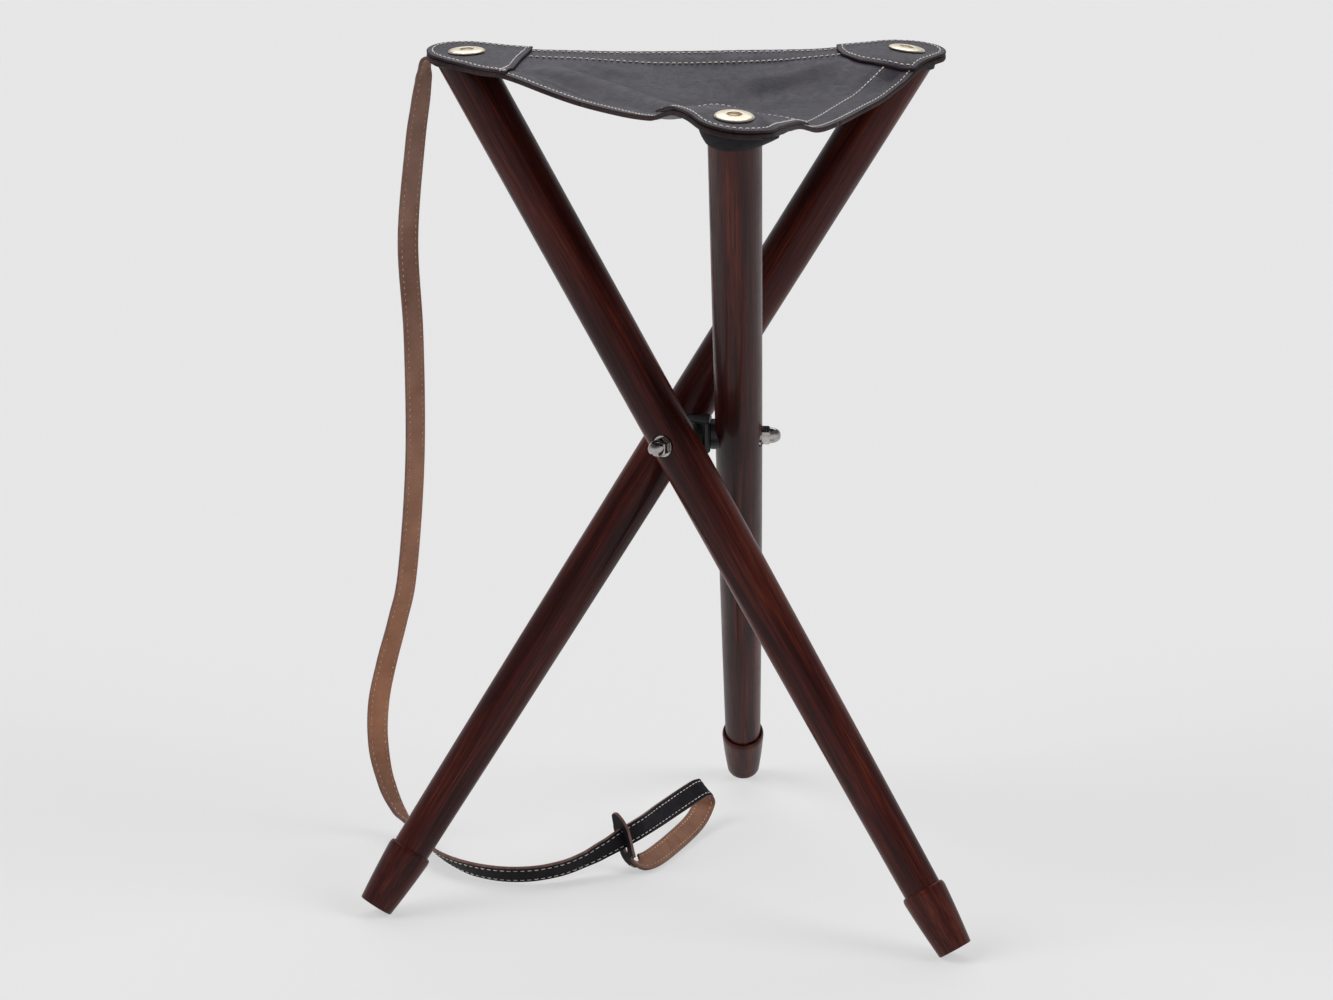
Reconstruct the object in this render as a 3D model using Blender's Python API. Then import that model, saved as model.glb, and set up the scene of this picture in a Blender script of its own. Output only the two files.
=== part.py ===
"""Folding tripod hunting stool: three turned legs on a three-way pivot, a leather seat and a carrying strap.

The hub axis is vertical. Each leg swings on its own stud, which points straight out from the hub, so the three
legs cross like a twisted tripod. The leather seat is screwed to the level-cut leg tops and stops the legs from
opening further. Leg C's stud points along +X, leg B's stud is 120 degrees further on and leg A's 240 degrees.
Units are metres, +Z is up and the stool stands on z = 0.
"""
import math

import bmesh
import bpy
from mathutils import Matrix, Vector

# Stance of the tripod
OPEN_ANGLE = math.radians(35.83)    # lean of every leg when the seat is taut
PIVOT_RADIUS = 0.0325               # hub axis to leg axis
LEG_ABOVE = 0.3450                  # pivot to the level-cut top, along the leg
LEG_BELOW = 0.4459                  # pivot to the end of the foot, along the leg
CLEARANCE = 0.0003                  # running and seating gap between pieces

# Turned legs and feet
LEG_TOP_RADIUS = 0.0198
LEG_PIVOT_RADIUS = 0.0184
LEG_LOW_RADIUS = 0.0149
FOOT_LENGTH = 0.0520
FOOT_SHOULDER_RADIUS = 0.0176
FOOT_SHOULDER_ROUND = 0.0045
FOOT_END_RADIUS = 0.0136
FOOT_END_BEVEL = 0.0008
FOOT_CUP_DEPTH = 0.0040
TENON_RADIUS = 0.0090
TENON_LENGTH = 0.0300

# Three-way pivot
STUD_RADIUS = 0.0040
STUD_BEVEL = 0.0008
HUB_SHARE = 0.76                    # hub block's part of the room inside the legs, saddles fill the rest
HUB_HEIGHT = 0.0250
HUB_CORNER_ROUND = 0.0040
HUB_BEVEL = 0.0012
HUB_SOCKET_FLOOR = 0.0036           # hub axis to the blind end of a stud socket
SADDLE_RADIUS = 0.0120
SPOT_FACE_RADIUS = 0.0092
SPOT_FACE_SEAT = 0.0156             # leg axis to the flat the washer sits on
WASHER_RADIUS = 0.0085
WASHER_THICKNESS = 0.0016
NUT_ACROSS_FLATS = 0.0130
NUT_HEX_HEIGHT = 0.0065
NUT_HEIGHT = 0.0150
NUT_DOME_RADIUS = 0.0062
NUT_BORE_DEPTH = 0.0115
NUT_CHAMFER = 0.0010

# Leather seat
LEATHER = 0.0025
SCREW_INSET = 0.0040                # leg axis at the top to the seat screw, towards the hub axis
CORNER_TIP_RADIUS = 0.0315          # rounded seat corner about its screw
EDGE_BOW = 0.0180                   # how far each seat edge curves in
FLAT_RADIUS = 0.0260                # level leather on top of a leg
SAG_FADE = 0.0360
EDGE_SAG = {                        # hang of an edge at equal steps from its first corner to its second
    "ba": (0.0, 0.0003, 0.0004, 0.0004, 0.0004, 0.0004, 0.0004, 0.0003, 0.0),
    "cb": (0.0, 0.0068, 0.0180, 0.0240, 0.0252, 0.0222, 0.0180, 0.0070, 0.0),
    "ac": (0.0, 0.0000, 0.0028, 0.0080, 0.0111, 0.0108, 0.0078, 0.0028, 0.0),
}
EDGE_SAG_POWER = 1.5                # how fast an edge's hang dies out towards the corner across from it
CENTRE_SAG = 0.0050                 # added in the middle of the seat
CAP_SIDES = {"a": (0.0740, 0.0470), "b": (0.0460, 0.0360), "c": (0.0660, 0.0620)}    # seams along both edges
CAP_BULGE = {"a": 0.0, "b": 0.0120, "c": 0.0}
CAP_SAG_SHARE = 0.75
POCKET_LEATHER = 0.0016
POCKET_DROPS = {"a": (0.0060, 0.0050), "b": (0.0100, 0.0080), "c": (0.0165, 0.0115)}    # in front, at its ends
POCKET_SWEEP = math.radians(105)

# Brass cup washers and seat screws
CUP_RADIUS = 0.0146
CUP_HEIGHT = 0.0028
CUP_RIM = 0.0007
CUP_RECESS_RADIUS = 0.0056
CUP_RECESS_FLOOR = 0.0010
SCREW_RADIUS = 0.0025
SCREW_LENGTH = 0.0300
SCREW_HEAD_RADIUS = 0.0050
SCREW_HEAD_HEIGHT = 0.0013
SCREW_SLOT_WIDTH = 0.0011
SCREW_SLOT_DEPTH = 0.0006

# Carrying strap, a running noose
STRAP_WIDTH = 0.0180
STRAP_THICKNESS = 0.0026
SLIT_WIDTH = 0.0048
SLIT_LENGTH = 0.0210
STEPS_PER_POINT = 2

# Strap route from the seat corner to the pointed end: centre of the strap, then where its tan side faces
STRAP_ROUTE = [
    ((-0.2144, 0.0817, 0.6474), (0.00, 0.00, -1.00)),
    ((-0.2180, 0.0831, 0.6473), (0.10, -0.04, -1.00)),
    ((-0.2208, 0.0842, 0.6450), (0.66, -0.25, -0.70)),
    ((-0.2222, 0.0848, 0.6390), (0.92, -0.38, -0.10)),
    ((-0.2231, 0.0850, 0.6290), (0.80, -0.60, 0.00)),
    ((-0.2258, 0.0850, 0.6090), (0.68, -0.73, 0.00)),
    ((-0.2300, 0.0850, 0.5770), (0.60, -0.80, 0.00)),
    ((-0.2360, 0.0850, 0.5000), (0.50, -0.87, 0.00)),
    ((-0.2318, 0.0850, 0.4200), (0.58, -0.81, 0.00)),
    ((-0.2312, 0.0850, 0.3200), (0.62, -0.78, 0.00)),
    ((-0.2378, 0.0850, 0.2250), (0.60, -0.80, 0.00)),
    ((-0.2458, 0.0850, 0.1850), (0.55, -0.83, 0.04)),
    ((-0.2552, 0.0850, 0.1480), (0.46, -0.88, 0.05)),
    ((-0.2620, 0.0850, 0.1130), (0.38, -0.92, 0.00)),
    ((-0.2625, 0.0850, 0.0780), (0.50, -0.86, 0.02)),
    ((-0.2565, 0.0850, 0.0460), (0.76, -0.60, 0.18)),
    ((-0.2455, 0.0800, 0.0225), (0.86, -0.36, 0.36)),
    ((-0.2320, 0.0660, 0.0114), (0.80, 0.05, 0.60)),
    ((-0.2190, 0.0430, 0.0086), (0.62, 0.42, 0.66)),
    ((-0.2030, 0.0130, 0.0082), (0.38, 0.64, 0.67)),
    ((-0.1800, -0.0130, 0.0086), (0.20, 0.80, 0.56)),
    ((-0.1530, -0.0270, 0.0092), (0.05, 0.85, 0.53)),
    ((-0.1270, -0.0290, 0.0105), (-0.12, 0.85, 0.52)),
    ((-0.1040, -0.0190, 0.0120), (-0.36, 0.80, 0.48)),
    ((-0.0875, -0.0085, 0.0155), (-0.48, 0.77, 0.42)),
    ((-0.0714, 0.0020, 0.0214), (-0.62, 0.77, 0.16)),
    ((-0.0556, 0.0155, 0.0275), (-0.69, 0.71, -0.14)),
    ((-0.0417, 0.0300, 0.0320), (-0.72, 0.66, -0.22)),
    ((-0.0258, 0.0660, 0.0325), (-0.72, 0.52, -0.46)),
    ((-0.0092, 0.1020, 0.0335), (-0.70, 0.42, -0.58)),
    ((0.0015, 0.1240, 0.0335), (-0.72, 0.15, -0.68)),
    ((0.0056, 0.1350, 0.0280), (-0.78, -0.54, -0.33)),
    ((0.0034, 0.1315, 0.0150), (0.20, -0.66, 0.72)),
    ((-0.0051, 0.1010, 0.0085), (0.44, -0.36, 0.82)),
    ((-0.0272, 0.0380, 0.0069), (0.50, -0.22, 0.84)),
    ((-0.0398, 0.0145, 0.0074), (0.40, -0.26, 0.88)),
    ((-0.0500, 0.0160, 0.0090), (0.62, 0.64, 0.46)),
    ((-0.0556, 0.0155, 0.0275), (0.66, 0.70, 0.25)),
    ((-0.0584, 0.0143, 0.0385), (0.66, 0.70, 0.25)),
    ((-0.0628, 0.0132, 0.0488), (0.66, 0.70, 0.25)),
]
SLIT_POINT = 37                     # route point in the middle of the slit
TIP_TAPER = (0.80, 0.20)            # share of the width near the pointed end and at it

# Facets
LEG_SIDES = 24
SMALL_SIDES = 18

ARM_TURN = {"a": math.radians(240), "b": math.radians(120), "c": 0.0}
COLOURS = {
    "stained_wood": ((0.060, 0.018, 0.013), 0.28, 0.0),
    "black_leather": ((0.032, 0.031, 0.034), 0.55, 0.0),
    "strap_leather": ((0.085, 0.045, 0.032), 0.70, 0.0),
    "black_polymer": ((0.012, 0.012, 0.013), 0.45, 0.0),
    "bright_steel": ((0.60, 0.60, 0.61), 0.18, 1.0),
    "brass": ((0.62, 0.46, 0.20), 0.24, 1.0),
}

LEAN_SIN = math.sin(OPEN_ANGLE)
LEAN_COS = math.cos(OPEN_ANGLE)
HUB_Z = LEG_BELOW * LEAN_COS + (FOOT_END_RADIUS - FOOT_END_BEVEL) * LEAN_SIN
SEAT_Z = HUB_Z + LEG_ABOVE * LEAN_COS
HUB_FACE = HUB_SHARE * (PIVOT_RADIUS - LEG_PIVOT_RADIUS)
LEG_TOP_TURN = math.atan2(-LEG_ABOVE * LEAN_SIN, PIVOT_RADIUS)
SCREW_CIRCLE = math.hypot(PIVOT_RADIUS, LEG_ABOVE * LEAN_SIN) - SCREW_INSET
LEAN_TURN = -math.pi / 2 - LEG_TOP_TURN
SEAT_SIDE = math.sqrt(3) * SCREW_CIRCLE
CORNER_SWEEP = math.radians(60) + math.atan(4 * EDGE_BOW / SEAT_SIDE)


def new_material(name):
    """A Principled material with the finish's colour, roughness and metallic value."""
    colour, roughness, metallic = COLOURS[name]
    material = bpy.data.materials.new(name)
    material.use_nodes = True
    shader = material.node_tree.nodes["Principled BSDF"]
    shader.inputs["Base Color"].default_value = (*colour, 1.0)
    shader.inputs["Roughness"].default_value = roughness
    shader.inputs["Metallic"].default_value = metallic
    return material


def add_empty(name, parent, location=(0, 0, 0), rotation=(0, 0, 0)):
    """A frame that carries pieces."""
    frame = bpy.data.objects.new(name, None)
    bpy.context.collection.objects.link(frame)
    frame.parent = parent
    frame.location = location
    frame.rotation_euler = rotation
    return frame


def add_piece(name, bm, parent, material, location=(0, 0, 0), rotation=(0, 0, 0)):
    """Turn a finished bmesh into a named object under its frame."""
    bmesh.ops.recalc_face_normals(bm, faces=bm.faces)
    mesh = bpy.data.meshes.new(name)
    bm.to_mesh(mesh)
    bm.free()
    mesh.shade_smooth()
    mesh.set_sharp_from_angle(angle=math.radians(35))
    piece = bpy.data.objects.new(name, mesh)
    bpy.context.collection.objects.link(piece)
    piece.parent = parent
    piece.location = location
    piece.rotation_euler = rotation
    piece.data.materials.append(material)
    return piece


def skin(rings, closed=False):
    """A closed skin over equal rings of points, capped at both ends unless the last ring meets the first."""
    bm = bmesh.new()
    loops = [[bm.verts.new(point) for point in ring] for ring in rings]
    pairs = list(zip(loops, loops[1:]))
    if closed:
        pairs.append((loops[-1], loops[0]))
    for low, high in pairs:
        for i in range(len(low)):
            j = (i + 1) % len(low)
            bm.faces.new((low[i], low[j], high[j], high[i]))
    if not closed:
        bm.faces.new(loops[0][::-1])
        bm.faces.new(loops[-1])
    return bm


def circle(radius, height, sides):
    """Points of a level circle about Z."""
    turns = [2 * math.pi * i / sides for i in range(sides)]
    return [Vector((radius * math.cos(t), radius * math.sin(t), height)) for t in turns]


def turned(profile, sides, closed=False):
    """A turned solid about Z from (radius, height) pairs."""
    return skin([circle(radius, height, sides) for radius, height in profile], closed)


def cut(piece, name, bm, parent, location=(0, 0, 0), rotation=(0, 0, 0)):
    """Cut a hidden tool's shape out of a piece."""
    tool = add_piece(name, bm, parent, piece.data.materials[0], location, rotation)
    tool.hide_render = True
    tool.display_type = "WIRE"
    modifier = piece.modifiers.new(name, "BOOLEAN")
    modifier.operation = "DIFFERENCE"
    modifier.solver = "EXACT"
    modifier.object = tool


def box(low, high):
    """A plain box between two corners."""
    bm = bmesh.new()
    size = Vector(high) - Vector(low)
    middle = (Vector(high) + Vector(low)) / 2
    bmesh.ops.create_cube(bm, size=1.0, matrix=Matrix.Translation(middle) @ Matrix.Diagonal((*size, 1.0)))
    return bm


def leg_radius(height):
    """Radius of a leg along its axis, with the pivot at height 0: a slight belly that thins to the foot."""
    low = FOOT_LENGTH - LEG_BELOW
    if height >= 0:
        return LEG_PIVOT_RADIUS + (LEG_TOP_RADIUS - LEG_PIVOT_RADIUS) * height / LEG_ABOVE
    share = height / low
    straight = LEG_PIVOT_RADIUS + (LEG_LOW_RADIUS - LEG_PIVOT_RADIUS) * share
    belly = 0.1 * (LEG_PIVOT_RADIUS - LEG_LOW_RADIUS) * 4 * share * (1 - share)
    return straight + belly


def build_leg(key, frame, finish):
    """A turned leg: level-cut top, tenon for the foot, cross bore and the flat its washer sits on."""
    bottom = FOOT_LENGTH - LEG_BELOW - FOOT_CUP_DEPTH + CLEARANCE
    tenon_end = bottom - TENON_LENGTH
    rings = [
        circle(TENON_RADIUS - STUD_BEVEL, tenon_end, LEG_SIDES),
        circle(TENON_RADIUS, tenon_end + STUD_BEVEL, LEG_SIDES),
        circle(TENON_RADIUS, bottom, LEG_SIDES),
    ]
    for share in (0.0, 0.25, 0.5, 0.75, 1.0):
        height = bottom * (1 - share)
        rings.append(circle(leg_radius(height), height, LEG_SIDES))
    rings.append(circle(leg_radius(LEG_ABOVE / 2), LEG_ABOVE / 2, LEG_SIDES))
    top = circle(LEG_TOP_RADIUS, LEG_ABOVE, LEG_SIDES)
    rings.append([Vector((p.x, p.y, p.z - p.y * LEAN_SIN / LEAN_COS)) for p in top])
    leg = add_piece(f"leg_{key}", skin(rings), frame, finish)
    across = (0, math.pi / 2, 0)
    reach = LEG_TOP_RADIUS + LEATHER
    bore = turned([(STUD_RADIUS + CLEARANCE, -reach), (STUD_RADIUS + CLEARANCE, reach)], SMALL_SIDES)
    cut(leg, f"bore_tool_{key}", bore, frame, rotation=across)
    flat = turned([(SPOT_FACE_RADIUS, SPOT_FACE_SEAT), (SPOT_FACE_RADIUS, reach)], LEG_SIDES)
    cut(leg, f"spot_face_tool_{key}", flat, frame, rotation=across)
    screw_hole = turned(
        [(SCREW_RADIUS + CLEARANCE, -SCREW_LENGTH), (SCREW_RADIUS + CLEARANCE, LEATHER)], SMALL_SIDES
    )
    cut(leg, f"screw_hole_tool_{key}", screw_hole, bpy.data.objects[f"corner_{key}"])


def build_foot(key, frame, finish):
    """A turned foot with a rounded shoulder, cupped over the end of the leg."""
    end = -LEG_BELOW
    shoulder = end + FOOT_LENGTH - FOOT_SHOULDER_ROUND
    socket = end + FOOT_LENGTH - FOOT_CUP_DEPTH - TENON_LENGTH - CLEARANCE
    rim = leg_radius(end + FOOT_LENGTH) + CLEARANCE
    profile = [
        (FOOT_END_RADIUS - FOOT_END_BEVEL, end),
        (FOOT_END_RADIUS, end + FOOT_END_BEVEL),
        (FOOT_SHOULDER_RADIUS, shoulder),
    ]
    round_width = FOOT_SHOULDER_RADIUS - rim - FOOT_END_BEVEL
    for degrees in (30, 60, 90):
        turn = math.radians(degrees)
        radius = FOOT_SHOULDER_RADIUS - round_width * (1 - math.cos(turn))
        profile.append((radius, shoulder + FOOT_SHOULDER_ROUND * math.sin(turn)))
    profile += [
        (rim, end + FOOT_LENGTH),
        (rim, end + FOOT_LENGTH - FOOT_CUP_DEPTH),
        (TENON_RADIUS + CLEARANCE, end + FOOT_LENGTH - FOOT_CUP_DEPTH),
        (TENON_RADIUS + CLEARANCE, socket),
    ]
    add_piece(f"foot_{key}", turned(profile, LEG_SIDES), frame, finish)


def build_hub(centre, finish):
    """The three-sided pivot block with rounded corners and a blind socket in every face."""
    corner_reach = 2 * (HUB_FACE - HUB_CORNER_ROUND)

    def outline(inset, height):
        points = []
        for corner in range(3):
            middle = math.radians(60 + 120 * corner)
            for step in range(5):
                turn = middle + math.radians(-60 + 30 * step)
                radius = HUB_CORNER_ROUND - inset
                x = corner_reach * math.cos(middle) + radius * math.cos(turn)
                y = corner_reach * math.sin(middle) + radius * math.sin(turn)
                points.append(Vector((x, y, height)))
        return points

    half = HUB_HEIGHT / 2
    rings = [
        outline(HUB_BEVEL, -half),
        outline(0, -half + HUB_BEVEL),
        outline(0, half - HUB_BEVEL),
        outline(HUB_BEVEL, half),
    ]
    hub = add_piece("pivot_hub", skin(rings), centre, finish)
    for key, turn in ARM_TURN.items():
        socket = turned(
            [(STUD_RADIUS + CLEARANCE, HUB_SOCKET_FLOOR), (STUD_RADIUS + CLEARANCE, 2 * HUB_FACE)], SMALL_SIDES
        )
        cut(hub, f"socket_tool_{key}", socket, centre, rotation=(0, math.pi / 2, turn))


def build_fixings(key, arm, finishes):
    """Stud, plain washer and acorn nut, all along the arm from the hub outwards."""
    outwards = (0, math.pi / 2, 0)
    washer_seat = PIVOT_RADIUS + SPOT_FACE_SEAT + CLEARANCE
    nut_seat = washer_seat + WASHER_THICKNESS + CLEARANCE
    start = HUB_SOCKET_FLOOR + CLEARANCE
    stop = nut_seat + NUT_BORE_DEPTH - CLEARANCE
    stud = [
        (STUD_RADIUS - STUD_BEVEL, start),
        (STUD_RADIUS, start + STUD_BEVEL),
        (STUD_RADIUS, stop - STUD_BEVEL),
        (STUD_RADIUS - STUD_BEVEL, stop),
    ]
    add_piece(f"stud_{key}", turned(stud, SMALL_SIDES), arm, finishes["bright_steel"], rotation=outwards)
    bore = STUD_RADIUS + CLEARANCE
    washer = [(bore, 0), (WASHER_RADIUS, 0), (WASHER_RADIUS, WASHER_THICKNESS), (bore, WASHER_THICKNESS)]
    add_piece(
        f"washer_{key}", turned(washer, SMALL_SIDES, closed=True), arm, finishes["bright_steel"],
        location=(washer_seat, 0, 0), rotation=outwards,
    )
    add_piece(
        f"acorn_nut_{key}", acorn_nut(bore), arm, finishes["bright_steel"],
        location=(nut_seat, 0, 0), rotation=outwards,
    )


def acorn_nut(bore):
    """A domed hexagon nut with chamfered corners and a blind bore, standing on z = 0."""
    flat = NUT_ACROSS_FLATS / 2
    sixth = math.pi / 3

    def hexagon(height, limit):
        points = []
        for point in circle(1.0, height, SMALL_SIDES):
            turn = math.atan2(point.y, point.x)
            from_flat = (turn % sixth) - sixth / 2
            radius = min(flat / math.cos(from_flat), limit)
            points.append(Vector((radius * point.x, radius * point.y, height)))
        return points

    corner = flat / math.cos(sixth / 2)
    rings = [
        circle(bore, NUT_BORE_DEPTH, SMALL_SIDES),
        circle(bore, 0, SMALL_SIDES),
        hexagon(0, corner - NUT_CHAMFER),
        hexagon(NUT_CHAMFER * 0.6, corner),
        hexagon(NUT_HEX_HEIGHT - NUT_CHAMFER * 0.6, corner),
        hexagon(NUT_HEX_HEIGHT, corner - NUT_CHAMFER),
    ]
    rise = NUT_HEIGHT - NUT_HEX_HEIGHT
    for degrees in (0, 30, 50, 68, 82):
        turn = math.radians(degrees)
        height = NUT_HEX_HEIGHT + CLEARANCE + (rise - CLEARANCE) * math.sin(turn)
        rings.append(circle(NUT_DOME_RADIUS * math.cos(turn), height, SMALL_SIDES))
    return skin(rings)


def build_saddle(key, frame, finish):
    """A round spacer, flat on the hub's face and hollowed to the leg's own curve on its other side."""
    start = HUB_FACE + CLEARANCE - PIVOT_RADIUS
    stop = -math.sqrt(LEG_PIVOT_RADIUS ** 2 - SADDLE_RADIUS ** 2) - CLEARANCE
    bore = STUD_RADIUS + CLEARANCE
    ring = [(bore, start), (SADDLE_RADIUS, start), (SADDLE_RADIUS, stop), (bore, stop)]
    saddle = add_piece(
        f"saddle_{key}", turned(ring, LEG_SIDES, closed=True), frame, finish, rotation=(0, math.pi / 2, 0)
    )
    heights = [SADDLE_RADIUS * share for share in (-1.4, 0.0, 1.4)]
    hollow = turned([(leg_radius(h) + CLEARANCE, h) for h in heights], 2 * LEG_SIDES)
    cut(saddle, f"saddle_tool_{key}", hollow, frame)


def corner_turn(key):
    """Plan direction of a seat corner from the hub axis."""
    return LEG_TOP_TURN + ARM_TURN[key]


def corner_direction(key):
    return Vector((math.cos(corner_turn(key)), math.sin(corner_turn(key))))


def smooth_step(value):
    value = min(max(value, 0.0), 1.0)
    return value * value * (3 - 2 * value)


def edge_sag(name, share):
    """How far a seat edge hangs at a share of the way between its corners."""
    steps = EDGE_SAG[name]
    place = min(max(share, 0.0), 1.0) * (len(steps) - 1)
    index = min(int(place), len(steps) - 2)
    return max(0.0, through(steps, index, place - index))


def seat_sag(point):
    """How far the seat hangs below the leg tops at a plan point."""
    weight = {k: (1 + 2 * point.dot(corner_direction(k)) / SCREW_CIRCLE) / 3 for k in ARM_TURN}
    sag = CENTRE_SAG * 27 * max(0.0, weight["a"] * weight["b"] * weight["c"])
    for first, second in EDGE_SAG:
        both = min(weight[first] + weight[second], 1.0)
        if both > 0.0:
            sag += edge_sag(first + second, weight[second] / both) * both ** EDGE_SAG_POWER
    nearest = min((point - SCREW_CIRCLE * corner_direction(k)).length for k in ARM_TURN)
    return sag * smooth_step((nearest - FLAT_RADIUS) / SAG_FADE)


def in_corner(key, point):
    """Plan point about the hub axis from a point in a corner's own frame."""
    return Matrix.Rotation(corner_turn(key), 2) @ (Vector((SCREW_CIRCLE, 0)) + point)


def corner_arc(steps):
    """The rounded tip of a seat corner in the corner's frame."""
    turns = [CORNER_SWEEP * (2 * i / steps - 1) for i in range(steps + 1)]
    return [CORNER_TIP_RADIUS * Vector((math.cos(t), math.sin(t))) for t in turns]


def edge_length():
    return SEAT_SIDE - 2 * CORNER_TIP_RADIUS * math.cos(math.radians(150) - CORNER_SWEEP)


def edge_point(share):
    """A point of the concave seat edge that leaves a corner anticlockwise, in the corner's frame."""
    start = CORNER_TIP_RADIUS * Vector((math.cos(CORNER_SWEEP), math.sin(CORNER_SWEEP)))
    along = Vector((math.cos(math.radians(150)), math.sin(math.radians(150))))
    inwards = Vector((math.cos(math.radians(240)), math.sin(math.radians(240))))
    return start + along * edge_length() * share + inwards * EDGE_BOW * 4 * share * (1 - share)


def cap_shares(side):
    """Shares of a seat edge at the points of a cap's side seam."""
    return [side / edge_length() * i / 5 for i in range(1, 6)]


def edge_shares(first, second):
    """Shares of a seat edge at the points of the panel's outline: both cap seams and the free middle."""
    leaving = cap_shares(CAP_SIDES[first][0])
    arriving = cap_shares(CAP_SIDES[second][1])
    free = 1 - leaving[-1] - arriving[-1]
    middle = [leaving[-1] + free * i / 6 for i in range(1, 6)]
    return leaving + middle + [1 - share for share in reversed(arriving)]


def build_seat(root, finish):
    """One sagging leather panel, screwed down at its three corners."""
    outline = []
    for first, second in ("cb", "ba", "ac"):
        outline += [in_corner(first, point) for point in corner_arc(8)]
        outline += [in_corner(first, edge_point(share)) for share in edge_shares(first, second)]
    shares = (0.99, 0.96, 0.93, 0.90, 0.87, 0.84, 0.81, 0.78, 0.75, 0.71, 0.67, 0.62, 0.56, 0.45, 0.30, 0.14)

    def ring(share, lift):
        points = [share * point for point in outline]
        return [Vector((p.x, p.y, SEAT_Z + lift - seat_sag(p))) for p in points]

    under = CLEARANCE
    over = CLEARANCE + LEATHER
    rings = [ring(share, under) for share in reversed(shares)]
    rings += [ring(1.0, (under + over) / 2)]
    rings += [ring(share, over) for share in shares]
    seat = add_piece("seat_panel", skin(rings), root, finish)
    for key in ARM_TURN:
        radius = SCREW_RADIUS + CLEARANCE
        hole = turned([(radius, -LEATHER), (radius, 2 * LEATHER)], SMALL_SIDES)
        place = in_corner(key, Vector((0, 0)))
        cut(seat, f"seat_hole_tool_{key}", hole, root, location=(place.x, place.y, SEAT_Z))


def build_cap(key, corner, finish):
    """A leather cap sewn over a seat corner: flush with the seat's edges, with a plain inner edge."""
    leaving, arriving = ([edge_point(share) for share in cap_shares(side)] for side in CAP_SIDES[key])
    arriving = [Vector((p.x, -p.y)) for p in arriving]
    inner = []
    for i in range(1, 10):
        share = i / 10
        bulge = Vector((-CAP_BULGE[key] * 4 * share * (1 - share), 0))
        inner.append(leaving[-1].lerp(arriving[-1], share) + bulge)
    outline = corner_arc(10) + leaving + inner + arriving[::-1]
    base = 2 * CLEARANCE + LEATHER

    def ring(share, lift):
        points = []
        for rim in outline:
            hole = (SCREW_RADIUS + CLEARANCE) * rim.normalized()
            point = hole.lerp(rim, share)
            sag = CAP_SAG_SHARE * seat_sag(in_corner(key, point))
            points.append(Vector((point.x, point.y, base + lift - sag)))
        return points

    shares = (0.0, 0.2, 0.36, 0.52, 0.68, 0.84, 0.98)
    rings = [ring(share, 0.0) for share in shares]
    rings += [ring(1.0, LEATHER / 2)]
    rings += [ring(share, LEATHER) for share in reversed(shares)]
    add_piece(f"corner_cap_{key}", skin(rings, closed=True), corner, finish)


def build_pocket(key, corner, finish):
    """A leather bowl round the outer side of the leg top, from the seat's rim in to the leg."""
    lean = Vector((math.cos(LEAN_TURN), math.sin(LEAN_TURN), 0))
    side = Vector((-lean.y, lean.x, 0))
    rim = SCREW_INSET + (LEG_TOP_RADIUS + 3 * CLEARANCE) / LEAN_COS
    front_drop, end_drop = POCKET_DROPS[key]
    steps = 14

    def point(turn, share, layer):
        front = max(0.0, math.cos(turn * math.pi / 2 / POCKET_SWEEP))
        drop = end_drop + (front_drop - end_drop) * front
        radius = LEG_TOP_RADIUS + CLEARANCE + layer
        leg_centre = Vector((SCREW_INSET, 0, -drop)) - lean * drop * LEAN_SIN / LEAN_COS
        on_leg = leg_centre + lean * radius / LEAN_COS * math.cos(turn) + side * radius * math.sin(turn)
        on_rim = (rim + layer) * (lean * math.cos(turn) + side * math.sin(turn))
        on_rim.z = -seat_sag(in_corner(key, on_rim.xy)) - CLEARANCE
        return on_rim.lerp(on_leg, share)

    rings = []
    for i in range(steps + 1):
        turn = POCKET_SWEEP * (2 * i / steps - 1)
        shares = (0.0, 0.35, 0.7, 1.0)
        ring = [point(turn, share, 0.0) for share in shares]
        ring += [point(turn, share, POCKET_LEATHER) for share in reversed(shares)]
        rings.append(ring)
    pocket = add_piece(f"corner_pocket_{key}", skin(rings), corner, finish)
    if key == "a":
        half = STRAP_WIDTH / 2 + 2 * CLEARANCE
        slot = box((0.5 * CORNER_TIP_RADIUS, -half, -STRAP_THICKNESS - CLEARANCE), (0.05, half, LEATHER))
        cut(pocket, "strap_slot_tool", slot, corner)


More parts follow.
